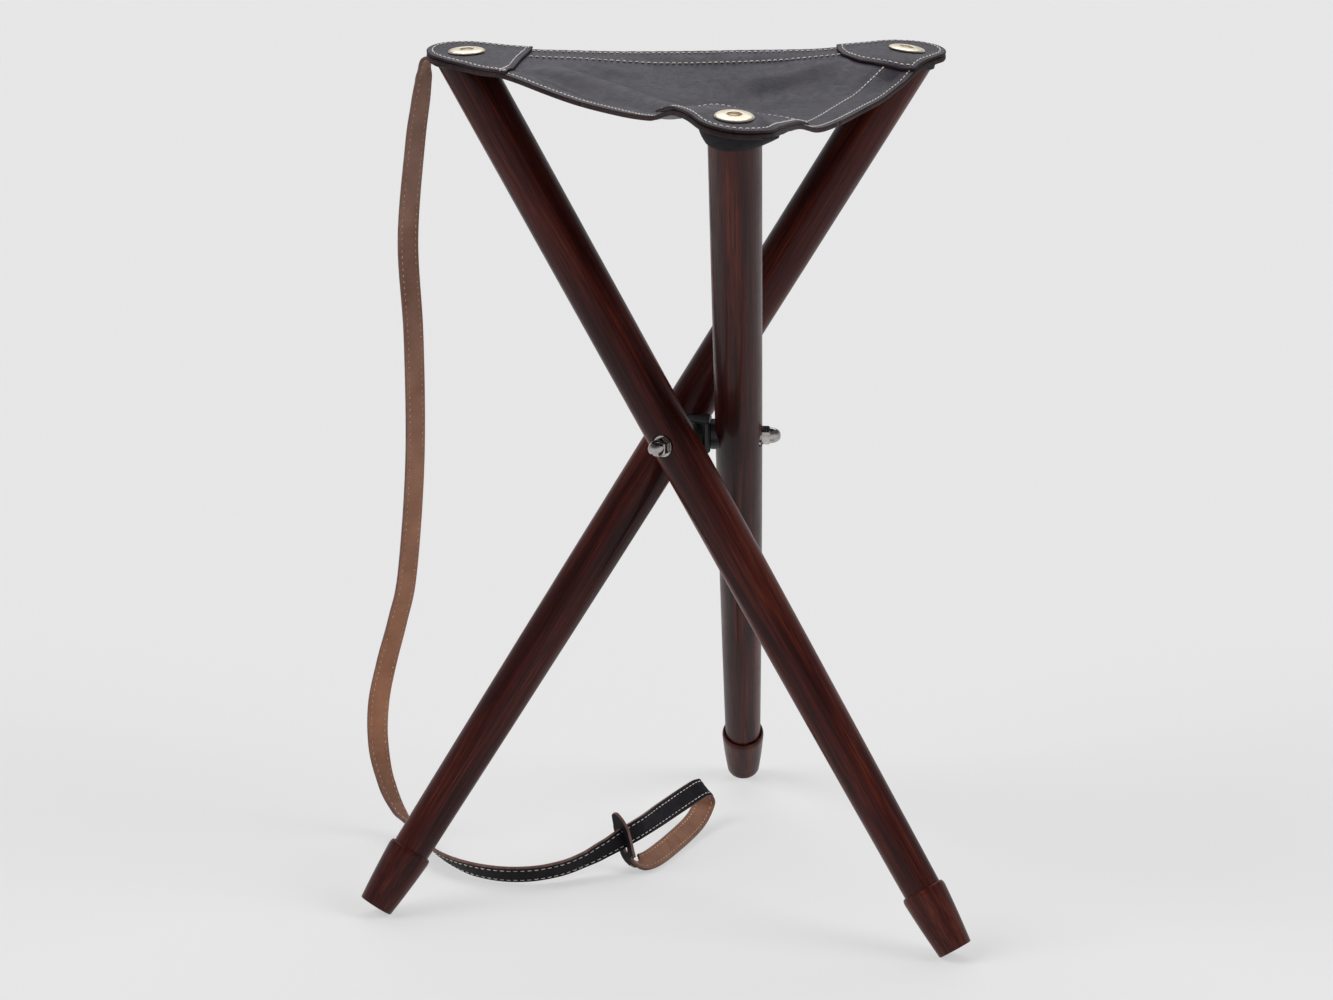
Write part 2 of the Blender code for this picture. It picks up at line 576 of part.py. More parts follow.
def build_seat_screw(key, corner, finish):
    """A brass cup washer on the corner cap and the slotted screw through it into the leg."""
    base = 3 * CLEARANCE + 2 * LEATHER
    hole = SCREW_RADIUS + CLEARANCE
    cup = [
        (hole, base),
        (CUP_RADIUS - CUP_RIM / 2, base),
        (CUP_RADIUS, base + CUP_RIM),
        (CUP_RADIUS * 0.90, base + CUP_HEIGHT * 0.65),
        (CUP_RADIUS * 0.66, base + CUP_HEIGHT * 0.93),
        (CUP_RECESS_RADIUS + CUP_RIM, base + CUP_HEIGHT),
        (CUP_RECESS_RADIUS, base + CUP_HEIGHT - CUP_RIM / 2),
        (CUP_RECESS_RADIUS - CLEARANCE, base + CUP_RECESS_FLOOR),
        (hole, base + CUP_RECESS_FLOOR),
    ]
    add_piece(f"cup_washer_{key}", turned(cup, LEG_SIDES, closed=True), corner, finish)
    seat = base + CUP_RECESS_FLOOR + CLEARANCE
    crown = seat + SCREW_HEAD_HEIGHT
    screw = [
        (SCREW_RADIUS * 0.4, CLEARANCE - SCREW_LENGTH),
        (SCREW_RADIUS, 4 * SCREW_RADIUS - SCREW_LENGTH),
        (SCREW_RADIUS, seat),
        (SCREW_HEAD_RADIUS, seat),
        (SCREW_HEAD_RADIUS, crown - SCREW_HEAD_HEIGHT / 2),
        (SCREW_HEAD_RADIUS * 0.6, crown),
    ]
    piece = add_piece(f"seat_screw_{key}", turned(screw, SMALL_SIDES), corner, finish)
    half = SCREW_SLOT_WIDTH / 2
    slot = box((-CUP_RADIUS, -half, crown - SCREW_SLOT_DEPTH), (CUP_RADIUS, half, crown + LEATHER))
    cut(piece, f"slot_tool_{key}", slot, corner)


def through(points, index, share):
    """A point on the smooth curve through the given points."""
    last = len(points) - 1
    before, start, stop, after = (points[min(max(index + i, 0), last)] for i in (-1, 0, 1, 2))
    square = share * share
    cube = square * share
    return 0.5 * (
        2 * start
        + (stop - before) * share
        + (2 * before - 5 * start + 4 * stop - after) * square
        + (3 * start - before - 3 * stop + after) * cube
    )


def strap_stations():
    """Centre, width direction, tan side and width share at steps along the strap."""
    centres = [Vector(centre) for centre, facing in STRAP_ROUTE]
    facings = [Vector(facing).normalized() for centre, facing in STRAP_ROUTE]
    last = len(centres) - 1
    steps = [step / STEPS_PER_POINT for step in range(STEPS_PER_POINT)]
    places = [(i, share) for i in range(last) for share in steps] + [(last - 1, 1.0)]
    middles = [through(centres, index, share) for index, share in places]
    stations = []
    for n, (index, share) in enumerate(places):
        along = (middles[min(n + 1, len(middles) - 1)] - middles[max(n - 1, 0)]).normalized()
        facing = facings[index].lerp(facings[index + 1], share)
        facing = (facing - along * facing.dot(along)).normalized()
        steps_left = len(places) - 1 - n
        width = {0: TIP_TAPER[1], 1: TIP_TAPER[0]}.get(steps_left, 1.0)
        stations.append((middles[n], along.cross(facing), facing, width))
    return stations


def build_strap(root, finish):
    """A flat strap that runs through a slit in its own pointed end, so that the end closes as a noose."""
    stations = strap_stations()
    half_slit_steps = round(SLIT_LENGTH / 2 / (stations[SLIT_POINT * STEPS_PER_POINT][0] -
                                               stations[SLIT_POINT * STEPS_PER_POINT - 1][0]).length)
    middle = SLIT_POINT * STEPS_PER_POINT
    open_from = middle - half_slit_steps
    open_to = middle + half_slit_steps
    bm = bmesh.new()
    rows = []
    for centre, across, facing, width in stations:
        row = []
        for side in (STRAP_THICKNESS / 2, -STRAP_THICKNESS / 2):
            for offset in (-STRAP_WIDTH / 2, -SLIT_WIDTH / 2, SLIT_WIDTH / 2, STRAP_WIDTH / 2):
                row.append(bm.verts.new(centre + across * offset * width + facing * side))
        rows.append(row)
    for n, (row, after) in enumerate(zip(rows, rows[1:])):
        slit = open_from <= n < open_to
        spans = [(0, 1), (2, 3), (5, 4), (7, 6), (4, 0), (3, 7)]
        spans += [(1, 5), (6, 2)] if slit else [(1, 2), (6, 5)]
        for first, second in spans:
            bm.faces.new((row[first], row[second], after[second], after[first]))
    for n in (open_from, open_to):
        bm.faces.new((rows[n][1], rows[n][2], rows[n][6], rows[n][5]))
    for row in (rows[0], rows[-1]):
        for first in range(3):
            bm.faces.new((row[first], row[first + 1], row[first + 5], row[first + 4]))
    add_piece("strap", bm, root, finish)
    length = sum((b[0] - a[0]).length for a, b in zip(stations, stations[1:]))
    print(f"strap length {length:.4f} m")


def build_leg_set(key, centre, finishes):
    """One arm of the tripod with everything that it carries."""
    arm = add_empty(f"arm_{key}", centre, rotation=(0, 0, ARM_TURN[key]))
    leg = add_empty(f"leg_axis_{key}", arm, (PIVOT_RADIUS, 0, 0), (OPEN_ANGLE, 0, 0))
    level = add_empty(f"level_{key}", leg, (0, 0, LEG_ABOVE), (-OPEN_ANGLE, 0, 0))
    inset = -SCREW_INSET * Vector((math.cos(LEG_TOP_TURN), math.sin(LEG_TOP_TURN), 0))
    corner = add_empty(f"corner_{key}", level, inset, (0, 0, LEG_TOP_TURN))
    build_leg(key, leg, finishes["stained_wood"])
    build_foot(key, leg, finishes["stained_wood"])
    build_saddle(key, leg, finishes["black_polymer"])
    build_fixings(key, arm, finishes)
    build_cap(key, corner, finishes["black_leather"])
    build_pocket(key, corner, finishes["black_leather"])
    build_seat_screw(key, corner, finishes["brass"])


def centre_on_origin(root):
    """Put the middle of the stool's footprint, without its loose strap, on the origin."""
    bpy.context.view_layer.update()
    corners = []
    for piece in bpy.data.objects:
        if piece.type == "MESH" and not piece.hide_render and piece.name != "strap":
            corners += [piece.matrix_world @ vertex.co for vertex in piece.data.vertices]
    for axis in range(2):
        values = [corner[axis] for corner in corners]
        root.location[axis] = -(min(values) + max(values)) / 2
    bpy.context.view_layer.update()


def report_axes():
    """Print where the fold axes and feet are."""
    for key in ARM_TURN:
        axis = bpy.data.objects[f"leg_axis_{key}"].matrix_world
        pivot = axis.translation
        outwards = axis.to_3x3() @ Vector((1, 0, 0))
        down = axis.to_3x3() @ Vector((0, 0, -1))
        foot = pivot + LEG_BELOW * down
        for label, vector in (("pivot", pivot), ("axis", -outwards), ("foot", foot), ("down", down)):
            print(f"leg {key} {label}", [round(value, 5) for value in vector])


def main():
    for old in list(bpy.data.objects):
        bpy.data.objects.remove(old, do_unlink=True)
    finishes = {name: new_material(name) for name in COLOURS}
    root = add_empty("stool_axis", None)
    centre = add_empty("hub_centre", root, (0, 0, HUB_Z))
    build_hub(centre, finishes["black_polymer"])
    for key in ARM_TURN:
        build_leg_set(key, centre, finishes)
    build_seat(root, finishes["black_leather"])
    build_strap(root, finishes["strap_leather"])
    centre_on_origin(root)
    report_axes()


main()
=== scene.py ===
"""Looks of the tripod hunting stool: lacquered legs, sewn leather seat, metal fixings and carrying strap.

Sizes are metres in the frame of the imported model. Plan points of the seat are taken about the hub axis.
"""
import functools
import math

import bpy
import numpy as np
from mathutils import Matrix, Vector, noise


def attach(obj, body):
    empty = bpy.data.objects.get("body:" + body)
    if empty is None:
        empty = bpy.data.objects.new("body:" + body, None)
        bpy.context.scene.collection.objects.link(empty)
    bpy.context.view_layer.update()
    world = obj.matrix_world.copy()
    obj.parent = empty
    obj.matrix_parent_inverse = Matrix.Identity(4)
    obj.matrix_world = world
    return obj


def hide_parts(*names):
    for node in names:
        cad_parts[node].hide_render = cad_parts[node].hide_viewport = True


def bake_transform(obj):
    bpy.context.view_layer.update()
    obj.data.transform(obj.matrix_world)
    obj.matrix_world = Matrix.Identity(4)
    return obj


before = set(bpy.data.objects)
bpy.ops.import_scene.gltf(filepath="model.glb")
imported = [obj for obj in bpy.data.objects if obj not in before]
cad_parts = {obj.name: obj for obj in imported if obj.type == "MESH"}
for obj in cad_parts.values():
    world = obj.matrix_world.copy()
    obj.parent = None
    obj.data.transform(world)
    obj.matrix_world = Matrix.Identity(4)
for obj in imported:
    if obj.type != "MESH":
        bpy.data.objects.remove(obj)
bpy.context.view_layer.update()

# Camera
CAMERA_PLACE = (0.15305, -3.17330, 1.17090)
CAMERA_PITCH = math.radians(15.18)
CAMERA_YAW = math.radians(-2.94)
CAMERA_ROLL = math.radians(0.67)
LENS = 112.58
SENSOR = 36.0
LENS_SHIFT = 0.0016

# Stance, as in the frame
STOOL_AXIS = Vector((0.01625, -0.02110, 0.0))
OPEN_ANGLE = math.radians(35.83)
PIVOT_RADIUS = 0.0325
LEG_ABOVE = 0.3450
LEG_BELOW = 0.4459
HUB_Z = 0.36901
SEAT_Z = 0.64872
CLEARANCE = 0.0003
ARM_TURN = {"a": math.radians(240), "b": math.radians(120), "c": 0.0}

# Turned legs and feet
LEG_TOP_RADIUS = 0.0198
LEG_PIVOT_RADIUS = 0.0184
LEG_LOW_RADIUS = 0.0149
FOOT_LENGTH = 0.0520
FOOT_SHOULDER_RADIUS = 0.0176
FOOT_SHOULDER_ROUND = 0.0045
FOOT_END_RADIUS = 0.0136
FOOT_END_BEVEL = 0.0008
FOOT_CUP_DEPTH = 0.0040
SPOT_FACE_RADIUS = 0.0092
SPOT_FACE_SEAT = 0.0156
CUT_MARGIN = 0.0025                 # how far the tool of the flat reaches past the wood

# Nuts and seat screws
WASHER_THICKNESS = 0.0016
NUT_ACROSS_FLATS = 0.0130
NUT_HEX_HEIGHT = 0.0065
NUT_HEIGHT = 0.0150
NUT_DOME_RADIUS = 0.0062
NUT_CHAMFER = 0.0011
NUT_BASE_CHAMFER = 0.0009
NUT_CHAMFER_HEIGHT = 0.0005
CUP_RADIUS = 0.0146
CUP_HEIGHT = 0.0025
CUP_RECESS_RADIUS = 0.0052
CUP_RECESS_FLOOR = 0.0013
CUP_HOLE_RADIUS = 0.0029
CUP_RIM = 0.0010                    # height of the rolled rim
CUP_SIDES = 72
SCREW_HEAD_RADIUS = 0.0047
SCREW_HEAD_HEIGHT = 0.0011
SCREW_HEAD_BEVEL = 0.0002
SCREW_SHANK_RADIUS = 0.0022
SCREW_SLOT_WIDTH = 0.0011
SCREW_SLOT_DEPTH = 0.0006
SCREW_TURNS = {"a": 0.5, "b": 1.9, "c": 1.1}

# Leather seat
LEATHER = 0.0025
LEATHER_ROUND = 0.0006
SCREW_INSET = 0.0040
CORNER_TIP_RADIUS = 0.0315
EDGE_BOW = 0.0180
HEM_WIDTH = 0.0260
HEM_RISE = 0.0006
HEM_LEATHER = 0.0034                # thickness of the turned edge
HEM_STEP = 0.003                    # width of the hem's inner step
TURNED_WIDTH = 0.012                # width of the turned edge
EDGE_ROLL = 0.0004
EDGE_ROLL_WIDTH = 0.010

# Hang of the seat: each edge from corner to corner, then how far its hang reaches into the panel
FLAT_RADIUS = 0.0260
SAG_FADE = 0.0360
EDGE_SAG = {
    "ba": (0.0, 0.0003, 0.0004, 0.0004, 0.0004, 0.0004, 0.0004, 0.0003, 0.0),
    "cb": (0.0, 0.0099, 0.0147, 0.0252, 0.0278, 0.0254, 0.0210, 0.0084, 0.0),
    "ac": (0.0, 0.0000, 0.0028, 0.0080, 0.0111, 0.0108, 0.0078, 0.0028, 0.0),
}
DROOP_FULL = 1.04                   # weight of an edge's two corners where its hang is full
DROOP_TIGHT = (0.86, 1.3)           # near a screw: the weight where the hang begins, and how sharply it grows
DROOP_WIDE = {"ba": (0.86, 1.3), "cb": (0.45, 0.50), "ac": (0.74, 1.0)}    # the same away from the screws
DROOP_EASE = 2.0                    # how softly the hang begins away from the screws
TIGHT_REACH = 0.050                 # distance from a screw that its pull holds tight
CENTRE_SAG = 0.0190
CENTRE_POWER = 1.2
BACK_HANG = 0.0060                  # fall of the panel from its taut back edge
BACK_HANG_START = 0.020
BACK_HANG_END = 0.090

# Folds from the front corner back: rise, line, width, and the share of the rise that the outer valley falls
RIDGES = {"a": (0.0068, 0.13, 0.060, 0.5), "b": (0.0050, 0.165, 0.070, 0.0)}
VALLEY_LINE = 0.03
VALLEY_WIDTH = 0.035
LEAST_WEIGHT = 0.0025               # keeps the share along a fold from a division by nothing
RIDGE_FADE = 0.25                   # share of a fold's length over which each end fades

# Small folds round the screws: their turns from the line to the hub axis, and the hollow between them
PULL_TURNS = {"a": (0.28, -0.30), "b": (0.34, -0.22), "c": (0.30, -0.36)}
PULL_REACH = 0.110
PULL_SPREAD = 0.048
PULL_RISE = 0.0024
PULL_WIDTH = 0.12
PULL_HOLLOW = 0.0022
PULL_HOLLOW_WIDTH = 0.16
UNEVEN = 0.0008
UNEVEN_SCALE = 16

# Corner leather: slopes under a cup and at a corner's rim, and the fall of the front corner's right side
CUP_TILT = {"a": (0.04, 0.05), "b": (-0.12, 0.01), "c": (-0.04, 0.13)}
RIM_TILT = {"a": (-0.05, 0.10), "b": (-0.02, 0.08), "c": (-0.11, 0.13)}
SIDE_DROOP = 0.0054
SIDE_DROOP_TURN = math.radians(35)

# Distances from a screw at which a form begins to grow, and the length over which it does
RIM_START = (0.014, 0.014)          # the rim's slope takes over from the cup's
LIE_END = (0.045, 0.035)            # a corner's slope dies out
DETAIL_START = (0.030, 0.030)       # hems and folds show
SIDE_DROOP_START = (0.018, 0.014)
SIDE_DROOP_END = (0.0367, 0.0226)
CROWN_START = (CUP_RADIUS, 0.008)   # a cap's crown
CROWN_END = (0.03, 0.02)
LIP_START = (0.036, 0.022)          # a cap's loose corners lift

# Corner caps: lengths along the two seat edges, bulge of the inner edge and lift of the two loose corners
CAP_LEATHER = 0.0021
CAP_SIDES = {"a": (0.0740, 0.0470), "b": (0.0460, 0.0360), "c": (0.0980, 0.0620)}
CAP_BULGE = {"a": 0.0, "b": 0.0200, "c": 0.0}
CAP_LIP = {"a": (0.0, 0.0), "b": (0.0, 0.0), "c": (0.0, 0.0014)}
CAP_LIP_WIDTH = 0.022
CAP_CROWN = 0.0005

# Corner pockets: depth at the front and at the ends, and the lie of the rim in plan
POCKET_LEATHER = 0.0016
POCKET_DROPS = {"a": (0.0060, 0.0050), "b": (0.0100, 0.0080), "c": (0.0165, 0.0115)}
POCKET_SHIFT = {"a": (0.0, 0.0), "b": (-0.0060, -0.0040), "c": (0.0032, 0.0)}
POCKET_SWEEP = math.radians(105)
POCKET_BELLY = 0.0012

# Sewing
STITCH = 0.0034
STITCH_GAP = 0.0014
STRAP_STITCH = 0.0038
STRAP_STITCH_GAP = 0.0018
BACK_STITCH = 0.0021                # what shows of a stitch on the strap's tan side
BACK_STITCH_GAP = 0.0029
THREAD_RADIUS = 0.00048
STRAP_THREAD_RADIUS = 0.00031
BACK_THREAD_RADIUS = 0.00040
EDGE_ROW = 0.0045
HEM_ROW = 0.0235
STRAP_ROW = 0.0032

# Strap
STRAP_WIDTH = 0.0180
STRAP_THICKNESS = 0.0026
SLIT_WIDTH = 0.0048
SLIT_LENGTH = 0.0210
STRAP_STEPS = 8
STRAP_TIP = 0.0150
STRAP_TIP_SHARE = 0.22              # width left at the very end
STRAP_ROW_START = 6                 # station where the stitches begin
SLIT_POINT = 37

# Strap route from the seat corner to the pointed end: centre of the strap, then where its tan side faces
STRAP_ROUTE = [
    ((-0.2144, 0.0817, 0.6474), (0.00, 0.00, -1.00)),
    ((-0.2180, 0.0831, 0.6473), (0.10, -0.04, -1.00)),
    ((-0.2208, 0.0842, 0.6450), (0.66, -0.25, -0.70)),
    ((-0.2222, 0.0848, 0.6390), (0.92, -0.38, -0.10)),
    ((-0.2231, 0.0850, 0.6290), (0.80, -0.60, 0.00)),
    ((-0.2258, 0.0850, 0.6090), (0.68, -0.73, 0.00)),
    ((-0.2300, 0.0850, 0.5770), (0.60, -0.80, 0.00)),
    ((-0.2360, 0.0850, 0.5000), (0.50, -0.87, 0.00)),
    ((-0.2318, 0.0850, 0.4200), (0.58, -0.81, 0.00)),
    ((-0.2312, 0.0850, 0.3200), (0.62, -0.78, 0.00)),
    ((-0.2378, 0.0850, 0.2250), (0.60, -0.80, 0.00)),
    ((-0.2458, 0.0850, 0.1850), (0.55, -0.83, 0.04)),
    ((-0.2552, 0.0850, 0.1480), (0.46, -0.88, 0.05)),
    ((-0.2620, 0.0850, 0.1130), (0.38, -0.92, 0.00)),
    ((-0.2625, 0.0850, 0.0780), (0.50, -0.86, 0.02)),
    ((-0.2565, 0.0850, 0.0460), (0.76, -0.60, 0.18)),
    ((-0.2455, 0.0800, 0.0225), (0.86, -0.36, 0.36)),
    ((-0.2320, 0.0660, 0.0114), (0.80, 0.05, 0.60)),
    ((-0.2190, 0.0430, 0.0086), (0.62, 0.42, 0.66)),
    ((-0.2030, 0.0130, 0.0082), (0.38, 0.64, 0.67)),
    ((-0.1800, -0.0130, 0.0086), (0.20, 0.80, 0.56)),
    ((-0.1530, -0.0270, 0.0092), (0.05, 0.85, 0.53)),
    ((-0.1270, -0.0290, 0.0105), (-0.12, 0.85, 0.52)),
    ((-0.1040, -0.0190, 0.0120), (-0.36, 0.80, 0.48)),
    ((-0.0875, -0.0085, 0.0155), (-0.48, 0.77, 0.42)),
    ((-0.0714, 0.0020, 0.0214), (-0.62, 0.77, 0.16)),
    ((-0.0556, 0.0155, 0.0275), (-0.69, 0.71, -0.14)),
    ((-0.0417, 0.0300, 0.0320), (-0.72, 0.66, -0.22)),
    ((-0.0258, 0.0660, 0.0325), (-0.72, 0.52, -0.46)),
    ((-0.0092, 0.1020, 0.0335), (-0.70, 0.42, -0.58)),
    ((0.0015, 0.1240, 0.0335), (-0.72, 0.15, -0.68)),
    ((0.0056, 0.1350, 0.0280), (-0.78, -0.54, -0.33)),
    ((0.0034, 0.1315, 0.0150), (0.20, -0.66, 0.72)),
    ((-0.0051, 0.1010, 0.0085), (0.44, -0.36, 0.82)),
    ((-0.0272, 0.0380, 0.0069), (0.50, -0.22, 0.84)),
    ((-0.0398, 0.0145, 0.0074), (0.40, -0.26, 0.88)),
    ((-0.0500, 0.0160, 0.0090), (0.62, 0.64, 0.46)),
    ((-0.0556, 0.0155, 0.0275), (0.66, 0.70, 0.25)),
    ((-0.0584, 0.0143, 0.0385), (0.66, 0.70, 0.25)),
    ((-0.0628, 0.0132, 0.0488), (0.66, 0.70, 0.25)),
]

LEAN_SIN = math.sin(OPEN_ANGLE)
LEAN_COS = math.cos(OPEN_ANGLE)
LEG_TOP_TURN = math.atan2(-LEG_ABOVE * LEAN_SIN, PIVOT_RADIUS)
SCREW_CIRCLE = math.hypot(PIVOT_RADIUS, LEG_ABOVE * LEAN_SIN) - SCREW_INSET
LEAN_TURN = -math.pi / 2 - LEG_TOP_TURN
SEAT_SIDE = math.sqrt(3) * SCREW_CIRCLE
CORNER_SWEEP = math.radians(60) + math.atan(4 * EDGE_BOW / SEAT_SIDE)


# Camera and light

def aim_camera():
    """The camera at the photograph's viewing angle."""
    pitch, yaw, roll = CAMERA_PITCH, CAMERA_YAW, CAMERA_ROLL
    ahead = Vector((math.sin(yaw) * math.cos(pitch), math.cos(yaw) * math.cos(pitch), -math.sin(pitch)))
    level = Vector((math.cos(yaw), -math.sin(yaw), 0.0))
    upright = level.cross(ahead)
    right = math.cos(roll) * level + math.sin(roll) * upright
    up = math.cos(roll) * upright - math.sin(roll) * level
    lens = bpy.data.cameras.new("stool_camera")
    lens.lens = LENS
    lens.sensor_width = SENSOR
    lens.shift_x = LENS_SHIFT
    camera = bpy.data.objects.new("stool_camera", lens)
    bpy.context.scene.collection.objects.link(camera)
    turn = Matrix((right, up, -ahead)).transposed().to_4x4()
    camera.matrix_world = Matrix.Translation(CAMERA_PLACE) @ turn
    bpy.context.scene.camera = camera


def soft_sun(name, strength, spread, towards, colour, mirrored=True):
    """A broad, even light from far away."""
    lamp = bpy.data.lights.new(name, "SUN")
    lamp.energy = strength
    lamp.angle = math.radians(spread)
    lamp.color = colour
    sun = bpy.data.objects.new(name, lamp)
    bpy.context.scene.collection.objects.link(sun)
    sun.visible_glossy = mirrored
    sun.rotation_mode = "QUATERNION"
    sun.rotation_quaternion = Vector(towards).to_track_quat("-Z", "Y")


def light_studio():
    """Even studio light from the left, the right and behind, in a dim room with pale walls."""
    soft_sun("key_light", 1.68, 40, (0.80, 0.30, -0.72), (1.0, 0.98, 0.96), mirrored=False)
    soft_sun("side_light", 1.35, 35, (-0.85, 0.22, -0.66), (0.97, 0.98, 1.0), mirrored=False)
    soft_sun("back_light", 0.90, 50, (0.05, -0.60, -0.80), (1.0, 1.0, 1.0))
    world = bpy.data.worlds.new("studio")
    bpy.context.scene.world = world
    world.use_nodes = True
    tree = world.node_tree
    height = add_height(tree, tree.nodes.new("ShaderNodeTexCoord").outputs["Generated"])
    walls = add_ramp(tree, height, [
        (0.0, (0.74, 0.74, 0.76)),
        (0.26, (0.60, 0.60, 0.62)),
        (0.60, (0.13, 0.13, 0.137)),
    ])
    room = add_mix(tree, rays_that_show(tree), (0.16, 0.16, 0.168), walls)
    tree.links.new(room, tree.nodes["Background"].inputs["Color"])


# Mesh helpers

def loft(rings, round_ring=True, ends=True):
    """Points and faces of a skin over equal rings of points."""
    count = len(rings[0])
    points = [point for ring in rings for point in ring]
    faces = []
    for row in range(len(rings) - 1):
        for i in range(count if round_ring else count - 1):
            j = (i + 1) % count
            faces.append((row * count + i, row * count + j, (row + 1) * count + j, (row + 1) * count + i))
    if ends:
        faces.append(tuple(reversed(range(count))))
        faces.append(tuple(range((len(rings) - 1) * count, len(rings) * count)))
    return points, faces


def circle(radius, height, sides):
    """Points of a level circle about Z."""
    turns = [2 * math.pi * i / sides for i in range(sides)]
    return [Vector((radius * math.cos(t), radius * math.sin(t), height)) for t in turns]


def turned(profile, sides):
    """Points and faces of a turned solid about Z from (radius, height) pairs."""
    return loft([circle(radius, height, sides) for radius, height in profile])


def join(points, faces, more):
    """Add a skin's points and faces to those of a larger mesh."""
    more_points, more_faces = more
    faces += [tuple(i + len(points) for i in face) for face in more_faces]
    points += more_points


def row_finishes(rows, per_row, edge):
    """Finish of each face of a skin: the second one on the rows of its edge."""
    return [1 if row in edge else 0 for row in range(rows) for i in range(per_row)]


def add_piece(name, points, faces, finishes, finish_of=None, place=None, sharp=40):
    """A named mesh with its finishes, smooth apart from its hard edges."""
    mesh = bpy.data.meshes.new(name)
    mesh.from_pydata([tuple(point) for point in points], [], faces)
    for finish in finishes:
        mesh.materials.append(finish)
    if finish_of is not None:
        mesh.polygons.foreach_set("material_index", finish_of)
    mesh.update()
    mesh.shade_smooth()
    mesh.set_sharp_from_angle(angle=math.radians(sharp))
    piece = bpy.data.objects.new(name, mesh)
    bpy.context.scene.collection.objects.link(piece)
    if place is not None:
        piece.matrix_world = place
    return piece


def carve(piece, tools):
    """Cut the tools' shapes out of a piece and drop the tools."""
    for tool in tools:
        modifier = piece.modifiers.new(tool.name, "BOOLEAN")
        modifier.operation = "DIFFERENCE"
        modifier.solver = "EXACT"
        modifier.object = tool
    bpy.context.view_layer.update()
    carved = bpy.data.meshes.new_from_object(piece.evaluated_get(bpy.context.evaluated_depsgraph_get()))
    piece.modifiers.clear()
    piece.data = carved
    carved.shade_smooth()
    carved.set_sharp_from_angle(angle=math.radians(40))
    for tool in tools:
        bpy.data.objects.remove(tool, do_unlink=True)


def smooth_step(value):
    value = min(max(value, 0.0), 1.0)
    return value * value * (3 - 2 * value)


def grow(value, start, length):
    """From nothing to one, softly, over a length."""
    return smooth_step((value - start) / length)


def through(points, index, share):
    """A point on the smooth curve through the given points."""
    last = len(points) - 1
    before, start, stop, after = (points[min(max(index + i, 0), last)] for i in (-1, 0, 1, 2))
    square = share * share
    cube = square * share
    return 0.5 * (
        2 * start
        + (stop - before) * share
        + (2 * before - 5 * start + 4 * stop - after) * square
        + (3 * start - before - 3 * stop + after) * cube
    )


# Frames of the stool

def arm_frame(key):
    """Along a stud: X points out from the hub."""
    return Matrix.Translation(STOOL_AXIS + Vector((0, 0, HUB_Z))) @ Matrix.Rotation(ARM_TURN[key], 4, "Z")


def leg_frame(key):
    """On a leg: origin at the pivot, Z up the leg, X along its stud."""
    return arm_frame(key) @ Matrix.Translation((PIVOT_RADIUS, 0, 0)) @ Matrix.Rotation(OPEN_ANGLE, 4, "X")


def corner_turn(key):
    return LEG_TOP_TURN + ARM_TURN[key]


def heading(turn):
    """Plan direction at a turn from X."""
    return Vector((math.cos(turn), math.sin(turn)))


def corner_direction(key):
    return heading(corner_turn(key))


def corner_frame(key):
    """On a leg top: origin at the seat screw, X away from the hub axis."""
    turn = Matrix.Rotation(corner_turn(key), 4, "Z")
    return Matrix.Translation(STOOL_AXIS) @ turn @ Matrix.Translation((SCREW_CIRCLE, 0, SEAT_Z))


def cup_frame(key):
    """On the leather at a seat screw, square to its slope."""
    slope_x, slope_y = CUP_TILT[key]
    upright = Vector((-slope_x, -slope_y, 1.0))
    lie = Vector((0, 0, 1)).rotation_difference(upright).to_matrix().to_4x4()
    place = corner_frame(key)
    return Matrix.Translation(place.translation) @ lie @ place.to_3x3().to_4x4()


def in_corner(key, point):
    """Plan point about the hub axis from a point in a corner's own frame."""
    return Matrix.Rotation(corner_turn(key), 2) @ (Vector((SCREW_CIRCLE, 0)) + point)


# Finishes

def new_group(name, label, value, outputs):
    """An empty shader node group on a place, with one value of its own and several value outputs."""
    tree = bpy.data.node_groups.new(name, "ShaderNodeTree")
    tree.interface.new_socket(name="Vector", in_out="INPUT", socket_type="NodeSocketVector")
    tree.interface.new_socket(name=label, in_out="INPUT", socket_type="NodeSocketFloat").default_value = value
    for output in outputs:
        tree.interface.new_socket(name=output, in_out="OUTPUT", socket_type="NodeSocketFloat")
    return tree, tree.nodes.new("NodeGroupInput").outputs, tree.nodes.new("NodeGroupOutput").inputs


def feed(tree, socket, value):
    """A socket joined to another one, or set to a number or a colour."""
    if isinstance(value, (int, float)):
        socket.default_value = value
    elif isinstance(value, tuple):
        socket.default_value = (*value, 1.0)
    else:
        tree.links.new(value, socket)


def add_node(tree, kind, values, **settings):
    """A shader node with its settings and what its inputs take."""
    node = tree.nodes.new(f"ShaderNode{kind}")
    for label, setting in settings.items():
        setattr(node, label, setting)
    for label, value in values.items():
        feed(tree, node.inputs[label], value)
    return node


def add_noise(tree, vector, scale, detail=4.0, roughness=0.55, distortion=0.0):
    """A noise texture's value output."""
    values = {"Vector": vector, "Scale": scale, "Detail": detail, "Roughness": roughness}
    return add_node(tree, "TexNoise", {**values, "Distortion": distortion}).outputs["Fac"]


def add_math(tree, operation, first, second, clamp=False):
    """A math node on sockets or plain numbers."""
    node = add_node(tree, "Math", {0: first, 1: second}, operation=operation, use_clamp=clamp)
    return node.outputs["Value"]


def add_spread(tree, value, low, high, new_low=0.0, new_high=1.0):
    """A value mapped from one range to another, held at the ends."""
    values = {"Value": value, "From Min": low, "From Max": high, "To Min": new_low, "To Max": new_high}
    return add_node(tree, "MapRange", values).outputs["Result"]


def add_height(tree, vector):
    """The height of a place."""
    return add_node(tree, "SeparateXYZ", {"Vector": vector}).outputs["Z"]


